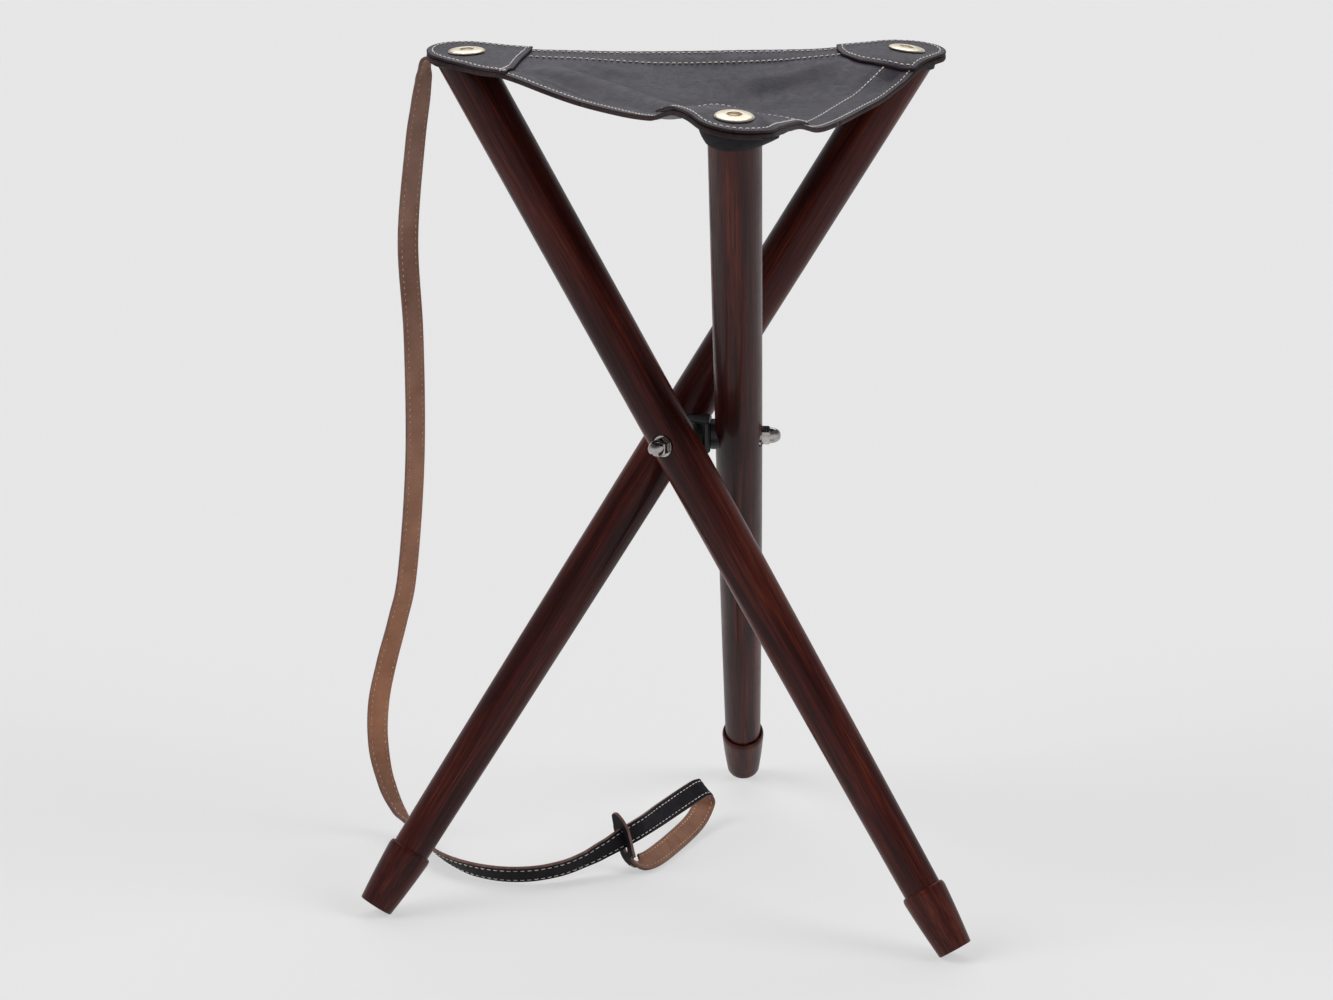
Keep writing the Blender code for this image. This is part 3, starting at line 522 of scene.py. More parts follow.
def add_ramp(tree, value, stops):
    """A colour ramp with (place, colour) stops."""
    node = tree.nodes.new("ShaderNodeValToRGB")
    ramp = node.color_ramp
    while len(ramp.elements) < len(stops):
        ramp.elements.new(0.5)
    for element, (place, colour) in zip(ramp.elements, stops):
        element.position = place
        element.color = (*colour, 1.0)
    tree.links.new(value, node.inputs["Fac"])
    return node.outputs["Color"]


def add_mix(tree, share, first, second):
    """Two colours mixed by a share."""
    return add_node(tree, "Mix", {0: share, 6: first, 7: second}, data_type="RGBA").outputs[2]


def add_group(tree, group, vector, **values):
    """A group placed in a material, with its own values."""
    values = {label.replace("_", " "): value for label, value in values.items()}
    return add_node(tree, "Group", {"Vector": vector, **values}, node_tree=group).outputs


def grain_group():
    """Straight wood grain along Z: broad figure, fine streaks and open pores."""
    tree, source, out = new_group("wood_grain", "Shift", 0.0, ("Figure", "Streak", "Pore"))

    def stretched(across, along):
        scale = add_node(tree, "VectorMath", {0: source["Vector"]}, operation="MULTIPLY")
        scale.inputs[1].default_value = (across, across, along)
        scaled = scale.outputs["Vector"]
        move = add_node(tree, "VectorMath", {0: scaled, 1: source["Shift"]}, operation="ADD")
        return move.outputs["Vector"]

    figure = add_noise(tree, stretched(85, 5.0), 1.0, detail=3.0, distortion=0.7)
    streak = add_noise(tree, stretched(640, 13.0), 1.0, detail=5.0, roughness=0.70)
    pore = add_noise(tree, stretched(1300, 38), 1.0, detail=2.0)
    tree.links.new(add_spread(tree, figure, 0.34, 0.66), out["Figure"])
    tree.links.new(add_spread(tree, streak, 0.27, 0.73), out["Streak"])
    tree.links.new(add_spread(tree, pore, 0.54, 0.68), out["Pore"])
    return tree


def handling_group():
    """Faint smudges and small marks from use."""
    tree, source, out = new_group("handling_marks", "Scale", 40.0, ("Smudge", "Speck"))
    smudge = add_noise(tree, source["Vector"], source["Scale"], detail=5.0, roughness=0.6)
    finer = add_math(tree, "MULTIPLY", source["Scale"], 14.0)
    speck = add_noise(tree, source["Vector"], finer, detail=2.0)
    tree.links.new(add_spread(tree, smudge, 0.35, 0.65), out["Smudge"])
    tree.links.new(add_spread(tree, speck, 0.62, 0.74), out["Speck"])
    return tree


def hide_group():
    """Leather: a pebbled grain, fine wrinkles and soft cloudy colour."""
    tree, source, out = new_group("hide_grain", "Pebble Scale", 900.0, ("Pebble", "Cloud", "Wrinkle"))
    spread = {"Vector": source["Vector"], "Scale": source["Pebble Scale"]}
    cells = add_node(tree, "TexVoronoi", spread, feature="SMOOTH_F1")
    fine = add_noise(tree, source["Vector"], 2600.0, detail=3.0)
    pebble = add_math(tree, "ADD", cells.outputs["Distance"], add_math(tree, "MULTIPLY", fine, 0.35))
    cloud = add_noise(tree, source["Vector"], 26.0, detail=5.0, roughness=0.6)
    wrinkle = add_noise(tree, source["Vector"], 130.0, detail=6.0, roughness=0.62, distortion=0.9)
    tree.links.new(pebble, out["Pebble"])
    tree.links.new(add_spread(tree, cloud, 0.30, 0.70), out["Cloud"])
    tree.links.new(add_spread(tree, wrinkle, 0.35, 0.65), out["Wrinkle"])
    return tree


def new_finish(name):
    """A material with its shader, its tree and its object coordinates."""
    finish = bpy.data.materials.new(name)
    finish.use_nodes = True
    tree = finish.node_tree
    place = tree.nodes.new("ShaderNodeTexCoord").outputs["Object"]
    return finish, tree, tree.nodes["Principled BSDF"], place


def dress(tree, shader, **values):
    """Patterns and plain values on the shader's own sockets."""
    for label, value in values.items():
        feed(tree, shader.inputs[label.replace("_", " ")], value)


def add_bump(tree, shader, height, depth, strength=1.0):
    """Relief on a shader's normal."""
    bump = add_node(tree, "Bump", {"Height": height, "Distance": depth, "Strength": strength})
    dress(tree, shader, Normal=bump.outputs["Normal"])


def wood_finish(groups):
    """Dark red-brown wood under a clear gloss lacquer, with a painted highlight that lightens it towards the
    feet.
    """
    finish, tree, shader, place = new_finish("lacquered_rosewood")
    each = tree.nodes.new("ShaderNodeObjectInfo").outputs["Random"]
    grain = add_group(tree, groups["grain"], place, Shift=add_math(tree, "MULTIPLY", each, 37.0))
    marks = add_group(tree, groups["handling"], place, Scale=30.0)
    figure = add_math(tree, "MULTIPLY", grain["Figure"], 0.50)
    tone = add_math(tree, "ADD", figure, add_math(tree, "MULTIPLY", grain["Streak"], 0.50))
    # Painted highlight: the tone turns lighter towards the feet, for the light that falls on the lower legs
    painted_low_highlight = add_spread(tree, add_height(tree, place), -0.30, -0.06, 0.07, 0.0)
    tone = add_math(tree, "ADD", tone, painted_low_highlight, clamp=True)
    colour = add_ramp(tree, tone, [
        (0.14, (0.0120, 0.0026, 0.0020)),
        (0.42, (0.0310, 0.0056, 0.0040)),
        (0.64, (0.0560, 0.0100, 0.0062)),
        (0.90, (0.1080, 0.0230, 0.0115)),
    ])
    pore = add_math(tree, "MULTIPLY", grain["Pore"], 0.70)
    add_bump(tree, shader, add_math(tree, "SUBTRACT", 1.0, grain["Pore"]), 0.00005)
    dress(
        tree, shader, Base_Color=add_mix(tree, pore, colour, (0.008, 0.0030, 0.0025)),
        Roughness=add_spread(tree, marks["Smudge"], 0.0, 1.0, 0.34, 0.46),
        Coat_Weight=0.22, Coat_Roughness=0.12, Specular_IOR_Level=0.10, Specular_Tint=(0.94, 0.86, 1.0),
    )
    return finish


def add_face(tree, shader, tone, shades, wear, roughness):
    """A colour between two shades by one pattern, and a roughness between two values by another."""
    colour = add_ramp(tree, tone, [(0.0, shades[0]), (1.0, shades[1])])
    dress(tree, shader, Base_Color=colour, Roughness=add_spread(tree, wear, 0.0, 1.0, *roughness))


def hide_finish(
    groups, name, pebble, tone, shades, wear, roughness, relief, crease=0.0, shine=0.5, tint=(1.0, 1.0, 1.0),
):
    """Leather with a pebbled face, coloured by one of the hide's patterns and worn by another."""
    finish, tree, shader, place = new_finish(name)
    hide = add_group(tree, groups["hide"], place, Pebble_Scale=pebble)
    add_face(tree, shader, hide[tone], shades, hide[wear], roughness)
    height = hide["Pebble"]
    if crease:
        height = add_math(tree, "ADD", height, add_math(tree, "MULTIPLY", hide["Wrinkle"], crease))
    add_bump(tree, shader, height, *relief)
    dress(tree, shader, Specular_IOR_Level=shine, Specular_Tint=tint)
    return finish


def handled_finish(groups, name, scale, shades, wear, roughness, metal=0.0, nap=None):
    """Thread, metal or plastic with the smudges of use, and a fine nap where it has one."""
    finish, tree, shader, place = new_finish(name)
    marks = add_group(tree, groups["handling"], place, Scale=scale)
    add_face(tree, shader, marks["Smudge"], shades, marks[wear], roughness)
    if nap:
        fineness, detail, depth, strength = nap
        add_bump(tree, shader, add_noise(tree, place, fineness, detail=detail), depth, strength)
    dress(tree, shader, Metallic=metal)
    return finish


def flesh_finish(groups):
    """The strap's tan flesh side, napped and mottled, with painted shade: greyer on its upper part under the
    seat and darker where it lies on the floor.
    """
    finish, tree, shader, place = new_finish("tan_flesh_side")
    hide = add_group(tree, groups["hide"], place, Pebble_Scale=1700.0)
    marks = add_group(tree, groups["handling"], place, Scale=85.0)
    # Lit and shaded copies of the tan, mixed by height: the greyer upper part is painted shade under the seat
    shaded_upper_tan = add_ramp(tree, hide["Cloud"], [(0.0, (0.275, 0.1400, 0.0980)), (1.0, (0.460, 0.2620, 0.1980))])
    lit_tan = add_ramp(tree, hide["Cloud"], [(0.0, (0.320, 0.1370, 0.0720)), (1.0, (0.540, 0.2520, 0.1420))])
    height = add_height(tree, place)
    colour = add_mix(tree, add_spread(tree, height, 0.12, 0.55), lit_tan, shaded_upper_tan)
    # Painted shade: a darker, mottled tan where the strap lies in its loop on the floor
    smudge = add_math(tree, "MULTIPLY", marks["Smudge"], 0.5)
    floor_shade_tan = add_mix(tree, smudge, (0.225, 0.108, 0.066), (0.350, 0.190, 0.128))
    colour = add_mix(tree, add_spread(tree, height, 0.03, 0.10), floor_shade_tan, colour)
    worn = add_mix(tree, add_math(tree, "MULTIPLY", marks["Speck"], 0.5), colour, (0.095, 0.046, 0.028))
    dress(tree, shader, Base_Color=worn, Roughness=add_spread(tree, hide["Wrinkle"], 0.0, 1.0, 0.70, 0.88))
    relief = add_math(tree, "ADD", hide["Pebble"], add_math(tree, "MULTIPLY", hide["Wrinkle"], 0.6))
    add_bump(tree, shader, relief, 0.0003, 0.8)
    return finish


def brass_finish(groups):
    """Pale brass, lightly tarnished."""
    finish, tree, shader, place = new_finish("pale_brass")
    marks = add_group(tree, groups["handling"], place, Scale=150.0)
    colour = add_ramp(tree, marks["Smudge"], [(0.0, (0.80, 0.70, 0.53)), (1.0, (0.95, 0.88, 0.73))])
    spots = add_mix(tree, add_math(tree, "MULTIPLY", marks["Speck"], 0.20), colour, (0.24, 0.15, 0.07))
    polish = add_spread(tree, marks["Smudge"], 0.0, 1.0, 0.40, 0.30)
    dress(tree, shader, Base_Color=spots, Roughness=polish, Metallic=1.0)
    add_bump(tree, shader, marks["Speck"], 0.00004, 0.5)
    return finish


def rays_that_show(tree):
    """One for the rays in which a backdrop is seen: straight, mirrored or through glass."""
    path = tree.nodes.new("ShaderNodeLightPath").outputs
    seen = add_math(tree, "ADD", path["Is Camera Ray"], path["Is Glossy Ray"])
    return add_math(tree, "ADD", seen, path["Is Transmission Ray"], clamp=True)


def floor_finish(groups):
    """Plain pale grey paper, lit through from below so that shadows on it stay faint."""
    finish, tree, shader, place = new_finish("pale_paper")
    marks = add_group(tree, groups["handling"], place, Scale=0.6)
    colour = add_ramp(tree, marks["Smudge"], [(0.0, (0.805, 0.805, 0.805)), (1.0, (0.815, 0.815, 0.815))])
    dress(tree, shader, Base_Color=colour, Roughness=0.9, Specular_IOR_Level=0.1)
    glow = add_node(tree, "Emission", {"Color": (0.80, 0.80, 0.80)}).outputs["Emission"]
    share = add_math(tree, "MULTIPLY", rays_that_show(tree), 0.60)
    lit = add_node(tree, "MixShader", {"Fac": share, 1: shader.outputs["BSDF"], 2: glow})
    tree.links.new(lit.outputs["Shader"], tree.nodes["Material Output"].inputs["Surface"])
    return finish


def make_finishes():
    """Every finish of the stool and of its floor."""
    groups = {"grain": grain_group(), "handling": handling_group(), "hide": hide_group()}
    return {
        "wood": wood_finish(groups),
        # Charcoal black saddle leather with a satin face
        "leather": hide_finish(
            groups, "black_saddle_leather", 1150.0, "Cloud",
            ((0.0165, 0.0148, 0.0215), (0.0315, 0.0280, 0.0395)),
            "Wrinkle", (0.37, 0.50), (0.00022, 0.6), crease=0.8, shine=0.30, tint=(0.97, 0.94, 1.0),
        ),
        # Thin black leather of the pockets and the strap, dull and darker than the seat; on the pockets under
        # the seat rim part of that darkness is painted shade
        "lining": hide_finish(
            groups, "black_pocket_leather", 1400.0, "Cloud",
            ((0.0065, 0.0055, 0.0070), (0.0125, 0.0105, 0.0130)),
            "Wrinkle", (0.55, 0.70), (0.00018, 0.5), shine=0.15,
        ),
        # Cut edge of the seat leather, brown and fibrous
        "raw_edge": hide_finish(
            groups, "raw_leather_edge", 2200.0, "Wrinkle",
            ((0.0110, 0.0062, 0.0066), (0.0360, 0.0175, 0.0165)),
            "Cloud", (0.55, 0.75), (0.00025, 0.7), shine=0.25,
        ),
        # Cut edge of the strap, a dull pinkish brown
        "strap_edge": hide_finish(
            groups, "raw_strap_edge", 2200.0, "Wrinkle", ((0.105, 0.0560, 0.0480), (0.200, 0.1120, 0.0980)),
            "Cloud", (0.60, 0.80), (0.00025, 0.7),
        ),
        "flesh": flesh_finish(groups),
        # Cream waxed thread with a twist
        "thread": handled_finish(
            groups, "cream_thread", 120.0, ((0.66, 0.59, 0.56), (0.88, 0.83, 0.80)),
            "Speck", (0.60, 0.80), nap=(5200.0, 1.0, 0.0001, 0.7),
        ),
        # The same thread where it lies in the napped tan side and has taken its colour
        "tan_thread": handled_finish(
            groups, "tan_thread", 60.0, ((0.46, 0.310, 0.240), (0.74, 0.580, 0.480)),
            "Speck", (0.65, 0.80), nap=(5200.0, 1.0, 0.0001, 0.7),
        ),
        "brass": brass_finish(groups),
        # Brown brass of the sunk screw and the cup's hollow middle: partly tarnish, partly painted shade in
        # the hollow
        "tarnish_and_shade": handled_finish(
            groups, "tarnished_shaded_brass", 260.0, ((0.30, 0.190, 0.095), (0.54, 0.415, 0.240)),
            "Speck", (0.38, 0.55), metal=1.0,
        ),
        # Bright nickel plate with faint wipe marks
        "nickel": handled_finish(
            groups, "bright_nickel", 190.0, ((0.34, 0.315, 0.30), (0.52, 0.495, 0.475)),
            "Smudge", (0.20, 0.11), metal=1.0,
        ),
        # Moulded black plastic with a fine satin texture
        "polymer": handled_finish(
            groups, "moulded_black", 70.0, ((0.0085, 0.0085, 0.0095), (0.016, 0.016, 0.017)),
            "Smudge", (0.38, 0.50), nap=(3800.0, 2.0, 0.00008, 0.5),
        ),
        "floor": floor_finish(groups),
    }


# Sewing

def stitch_row(line, stitch, gap, thread):
    """Points and faces of a row of stitches along (point, outward normal) pairs."""
    spots = [Vector(point) for point, normal in line]
    normals = [Vector(normal).normalized() for point, normal in line]
    lengths = [0.0]
    for before, after in zip(spots, spots[1:]):
        lengths.append(lengths[-1] + (after - before).length)

    def at(distance):
        place = int(np.clip(np.searchsorted(lengths, distance) - 1, 0, len(spots) - 2))
        span = max(lengths[place + 1] - lengths[place], 1e-9)
        share = (distance - lengths[place]) / span
        return spots[place].lerp(spots[place + 1], share), normals[place].lerp(normals[place + 1], share)

    points, faces = [], []
    count = max(1, round(lengths[-1] / (stitch + gap)))
    pitch = lengths[-1] / count
    sides = 6
    profile = [
        (0.0, -0.8, 0.40), (0.14, 0.45, 0.88), (0.38, 0.80, 1.0), (0.62, 0.80, 1.0), (0.86, 0.45, 0.88),
        (1.0, -0.8, 0.40),
    ]
    for number in range(count):
        start = number * pitch + gap / 2
        rings = []
        for share, lift, size in profile:
            middle, normal = at(start + share * (pitch - gap))
            ahead = at(min(start + share * (pitch - gap) + 0.0004, lengths[-1]))[0]
            along = (ahead - middle).normalized() if (ahead - middle).length > 1e-9 else along
            side = along.cross(normal).normalized()
            upward = side.cross(along)
            middle = middle + upward * thread * lift
            ring = []
            for i in range(sides):
                turn = 2 * math.pi * i / sides
                ring.append(middle + thread * size * (side * math.cos(turn) + upward * math.sin(turn)))
            rings.append(ring)
        join(points, faces, loft(rings))
    return points, faces


def sew(name, rows, finish, stitch, gap, thread=THREAD_RADIUS):
    """One piece with every stitch of several rows."""
    points, faces = [], []
    for line in rows:
        join(points, faces, stitch_row(line, stitch, gap, thread))
    return add_piece(name, points, faces, [finish], sharp=80)


# Seat

def edge_sag(name, share):
    """How far a seat edge hangs at a share of the way between its corners."""
    steps = EDGE_SAG[name]
    place = min(max(share, 0.0), 1.0) * (len(steps) - 1)
    index = min(int(place), len(steps) - 2)
    return max(0.0, through(steps, index, place - index))


def from_screw(key, point):
    """A plan point as seen from a corner's screw."""
    return point - SCREW_CIRCLE * corner_direction(key)


def nearest_screw(point):
    return min(from_screw(key, point).length for key in ARM_TURN)


def seat_sag(point):
    """How far the seat hangs below the leg tops at a plan point."""
    weight = {k: (1 + 2 * point.dot(corner_direction(k)) / SCREW_CIRCLE) / 3 for k in ARM_TURN}
    sag = CENTRE_SAG * (27 * max(0.0, weight["a"] * weight["b"] * weight["c"])) ** CENTRE_POWER
    away = grow(nearest_screw(point), TIGHT_REACH, TIGHT_REACH)
    for first, second in EDGE_SAG:
        both = min(weight[first] + weight[second], DROOP_FULL)
        start, power = Vector(DROOP_TIGHT).lerp(Vector(DROOP_WIDE[first + second]), away)
        if both > start:
            share = (both - start) / (DROOP_FULL - start)
            near = share ** (power + DROOP_EASE * away * (1 - share) ** 2)
            sag += edge_sag(first + second, weight[second] / both) * near
    for back, other in ("ab", "ba"):
        along = weight["c"] / max(weight["c"] + weight[back], LEAST_WEIGHT)
        span = smooth_step(along / RIDGE_FADE) * smooth_step((1 - along) / RIDGE_FADE)
        ridge_rise, ridge_line, ridge_width, fall = RIDGES[back]
        ridge = math.exp(-((weight[other] - ridge_line) / ridge_width) ** 2)
        valley = math.exp(-((weight[other] - VALLEY_LINE) / VALLEY_WIDTH) ** 2)
        sag -= ridge_rise * span * (ridge - fall * valley)
    inside = edge_distance("ba", point)
    middle = max(0.0, 4 * weight["a"] * weight["b"]) ** 1.5
    sag += BACK_HANG * middle * (1 - math.exp(-inside / BACK_HANG_START)) * math.exp(-inside / BACK_HANG_END)
    return sag * grow(nearest_screw(point), FLAT_RADIUS, SAG_FADE)


def corner_arc(steps):
    """The rounded tip of a seat corner in the corner's frame."""
    turns = [CORNER_SWEEP * (2 * i / steps - 1) for i in range(steps + 1)]
    return [CORNER_TIP_RADIUS * heading(turn) for turn in turns]


def edge_length():
    return SEAT_SIDE - 2 * CORNER_TIP_RADIUS * math.cos(math.radians(150) - CORNER_SWEEP)


def edge_point(share):
    """A point of the concave seat edge that leaves a corner anticlockwise, in the corner's frame."""
    start = CORNER_TIP_RADIUS * heading(CORNER_SWEEP)
    along, inwards = heading(math.radians(150)), heading(math.radians(240))
    return start + along * edge_length() * share + inwards * EDGE_BOW * 4 * share * (1 - share)


def edge_inwards(share):
    """Direction into the seat, square to its edge, in the corner's frame."""
    step = edge_point(min(share + 0.01, 1.0)) - edge_point(max(share - 0.01, 0.0))
    return Vector((-step.y, step.x)).normalized()


def mirrored(points):
    return [Vector((point.x, -point.y)) for point in points]


EDGE_LINES = {
    name: np.array([in_corner(name[0], edge_point(i / 120)) for i in range(121)]) for name in EDGE_SAG
}


@functools.cache
def distance_to_line(name, x, y):
    line = EDGE_LINES[name]
    return math.sqrt(float(np.min((line[:, 0] - x) ** 2 + (line[:, 1] - y) ** 2)))


def edge_distance(name, point):
    """Distance of a plan point from one seat edge."""
    return distance_to_line(name, point.x, point.y)


def hem_rise(point):
    """The folded hems along two edges stand a little proud of the panel."""
    distance = min(edge_distance("ba", point), edge_distance("cb", point))
    return HEM_RISE * (1 - smooth_step((distance - HEM_WIDTH + HEM_STEP) / HEM_STEP))


def pull_folds(point):
    """Soft folds that run from the screws towards the middle of the loaded leather."""
    rise = 0.0
    for key, turns in PULL_TURNS.items():
        away = from_screw(key, point)
        inwards = -corner_direction(key)
        distance = away.length
        turn = math.atan2(inwards.x * away.y - inwards.y * away.x, inwards.dot(away))
        reach = math.exp(-((distance - PULL_REACH) / PULL_SPREAD) ** 2)
        for fold in turns:
            rise += PULL_RISE * reach * math.exp(-((turn - fold) / PULL_WIDTH) ** 2)
        rise -= PULL_HOLLOW * reach * math.exp(-(turn / PULL_HOLLOW_WIDTH) ** 2)
    slow = noise.noise(Vector((point.x * UNEVEN_SCALE, point.y * UNEVEN_SCALE, 3.1)))
    return rise + UNEVEN * slow


def seat_top(point):
    """Height of the seat's upper face at a plan point."""
    return SEAT_Z + CLEARANCE + LEATHER - seat_sag(point) + seat_detail(point)


def corner_lie(key, point):
    """Rise of the leather round a corner's screw, which tips it over the leg top."""
    away = from_screw(key, point)
    distance = away.length
    outer = grow(distance, *RIM_START)
    slope = Vector(CUP_TILT[key]).lerp(Vector(RIM_TILT[key]), outer)
    inwards = max(0.0, -away.dot(corner_direction(key)) / max(distance, LEATHER_ROUND))
    rise = away.dot(slope) * (1 - 0.7 * inwards * outer) * (1 - grow(distance, *LIE_END))
    if key == "c":
        turn = math.atan2(away.y, away.x) - SIDE_DROOP_TURN
        side = max(0.0, math.cos(0.9 * turn)) ** 2 if abs(turn) < math.pi / 1.8 else 0.0
        reach = grow(distance, *SIDE_DROOP_START) * (1 - grow(distance, *SIDE_DROOP_END))
        rise -= SIDE_DROOP * side * reach
    return rise


def seat_detail(point):
    """Rolled edges, hems and folds, faded out under the corner caps, and the lie of the corners."""
    inside = min(edge_distance(name, point) for name in EDGE_LINES)
    rise = (hem_rise(point) + pull_folds(point)) * grow(nearest_screw(point), *DETAIL_START)
    rise += EDGE_ROLL * (1 - smooth_step(inside / EDGE_ROLL_WIDTH))
    return rise + sum(corner_lie(key, point) for key in ARM_TURN)


def panel_thickness(point):
    """The leather is doubled along its turned edges."""
    inside = min(edge_distance(name, point) for name in EDGE_LINES)
    return LEATHER + (HEM_LEATHER - LEATHER) * (1 - smooth_step(inside / TURNED_WIDTH))


def seat_normal(point, step=0.0008):
    """Upward normal of the seat's upper face."""
    slope_x = (seat_top(point + Vector((step, 0))) - seat_top(point - Vector((step, 0)))) / (2 * step)
    slope_y = (seat_top(point + Vector((0, step))) - seat_top(point - Vector((0, step)))) / (2 * step)
    return Vector((-slope_x, -slope_y, 1.0)).normalized()


def in_frame(point, height):
    """A plan point about the hub axis as a point of the model."""
    return STOOL_AXIS + Vector((point.x, point.y, height))


def seat_third_outline(key):
    """Outline of one corner's third of the seat, from edge middle to edge middle."""
    leaving = [edge_point(0.5 * i / 44) for i in range(1, 45)]
    corner = mirrored(leaving)[::-1] + corner_arc(28) + leaving
    return [in_corner(key, point) for point in corner]


def seat_third(key, finishes):
    """One third of the sewn panel: upper face, rounded raw edge and lower face."""
    outline = seat_third_outline(key)
    shares = [0.02] + [0.03 + 0.93 * (i / 34) ** 0.85 for i in range(1, 35)] + [0.975, 0.987, 0.994]
    rings = []
    for share in shares:
        rings.append([in_frame(share * p, seat_top(share * p)) for p in outline])
    inset = [p - LEATHER_ROUND * p.normalized() for p in outline]
    heights = [seat_top(p) for p in outline]
    droop = 0.0004
    rings.append([in_frame(p, z - droop / 2) for p, z in zip(inset, heights)])
    top_rings = len(rings)
    rings.append([in_frame(p, z - droop - HEM_LEATHER * 0.22) for p, z in zip(outline, heights)])
    rings.append([in_frame(p, z - droop - HEM_LEATHER * 0.78) for p, z in zip(outline, heights)])
    rings.append([in_frame(p, z - droop - HEM_LEATHER) for p, z in zip(inset, heights)])
    low_start = len(rings)
    for share in reversed(shares[::2]):
        rings.append([in_frame(share * p, seat_top(share * p) - panel_thickness(share * p)) for p in outline])
    points, faces = loft(rings, round_ring=False, ends=False)
    per_row = len(outline) - 1
    finish_of = row_finishes(len(rings) - 1, per_row, range(top_rings - 1, low_start - 1))
    centre_top = len(points)
    points += [in_frame(Vector((0, 0)), seat_top(Vector((0, 0))) - drop) for drop in (0.0, LEATHER)]
    last = (len(rings) - 1) * len(outline)
    for i in range(per_row):
        faces.append((centre_top, i + 1, i))
        faces.append((centre_top + 1, last + i, last + i + 1))
        finish_of += [0, 0]
    for column, backwards in ((0, False), (per_row, True)):
        cut = [centre_top] + [row * len(outline) + column for row in range(len(rings))] + [centre_top + 1]
        faces.append(tuple(reversed(cut)) if backwards else tuple(cut))
        finish_of.append(0)
    faces = [tuple(reversed(face)) for face in faces]
    finish = [finishes["leather"], finishes["raw_edge"]]
    panel = add_piece(f"seat_leather_{key}", points, faces, finish, finish_of)
    normals = [Vector(vertex.normal) for vertex in panel.data.vertices]
    for row, share in enumerate(shares):
        for i, p in enumerate(outline):
            normals[row * len(outline) + i] = seat_normal(share * p)
    normals[centre_top] = seat_normal(Vector((0, 0)))
    panel.data.normals_split_custom_set_from_vertices(normals)
    return panel


def edge_row(first, offset, start, stop):
    """A stitch line inside an edge that leaves a corner, between two shares of it."""
    line = []
    for i in range(61):
        share = start + (stop - start) * i / 60
        point = in_corner(first, edge_point(share) + edge_inwards(share) * offset)
        line.append((in_frame(point, seat_top(point)), seat_normal(point)))
    return line


def seat_rows(key):
    """Stitch lines on one third of the seat."""
    leaving, arriving = (0.96 * side / edge_length() for side in CAP_SIDES[key])
    rows = []
    for first, second in EDGE_SAG:
        if key == first:
            start, stop = leaving, 0.5
        elif key == second:
            start, stop = 0.5, 1 - arriving
        else:
            continue
        rows.append(edge_row(first, EDGE_ROW, start, stop))
        if first + second != "ac":
            rows.append(edge_row(first, HEM_ROW, start, stop))
    return rows


# Corner caps and pockets

def cap_outline(key):
    """Outline of a corner cap in the corner's frame, with a straight or bulging inner edge."""
    leaving, arriving = (
        [edge_point(side / edge_length() * i / 16) for i in range(1, 17)] for side in CAP_SIDES[key]
    )
    arriving = mirrored(arriving)
    inner = []
    for i in range(1, 40):
        share = i / 40
        bulge = Vector((-CAP_BULGE[key] * 4 * share * (1 - share), 0))
        inner.append(leaving[-1].lerp(arriving[-1], share) + bulge)
    return corner_arc(36) + leaving + inner + arriving[::-1]


def cap_top(key, point):
    """Height of a cap's upper face above the leg-top plane, at a point in the corner's frame."""
    plan = in_corner(key, point)
    lie = seat_top(plan) - SEAT_Z + CLEARANCE + CAP_LEATHER
    distance = point.length
    crown = CAP_CROWN * grow(distance, *CROWN_START) * (1 - grow(distance, *CROWN_END))
    inside = min(edge_distance(name, plan) for name in EDGE_LINES)
    loose = grow(distance, *LIP_START) * (1 - smooth_step(inside / CAP_LIP_WIDTH))
    return lie + crown + CAP_LIP[key][0 if point.y > 0 else 1] * loose


def cap_piece(key, finishes):
    """A cap sewn over a seat corner, with a thick rounded edge."""
    outline = cap_outline(key)
    shares = [0.10, 0.25, 0.40, 0.52, 0.64, 0.74, 0.83, 0.90, 0.945]
    rings = []

    def ring(points, lift):
        return [Vector((p.x, p.y, cap_top(key, p) + lift)) for p in points]

    inset = [p - LEATHER_ROUND * p.normalized() for p in outline]
    for share in shares:
        rings.append(ring([share * p for p in outline], 0.0))
    rings.append(ring(inset, -0.0002))
    top_rings = len(rings)
    rings.append(ring(outline, -CAP_LEATHER * 0.28))
    rings.append(ring(outline, -CAP_LEATHER * 0.75))
    rings.append(ring(inset, -CAP_LEATHER))
    points, faces = loft(rings)
    finish_of = row_finishes(len(rings) - 1, len(outline), range(top_rings - 1, len(rings))) + [0, 0]
    finish = [finishes["leather"], finishes["raw_edge"]]
    return add_piece(f"cap_leather_{key}", points, faces, finish, finish_of, corner_frame(key), sharp=60)


def cap_row(key):
    """Stitch line all round a cap, inside its edge."""
    outline = cap_outline(key)
    place = corner_frame(key)
    line = []
    count = len(outline)
    for i in list(range(count)) + [0]:
        step = outline[(i + 1) % count] - outline[i - 1]
        inwards = Vector((-step.y, step.x)).normalized()
        point = outline[i] + inwards * EDGE_ROW
        spot = place @ Vector((point.x, point.y, cap_top(key, point)))
        line.append((spot, seat_normal(in_corner(key, point))))
    return [line]


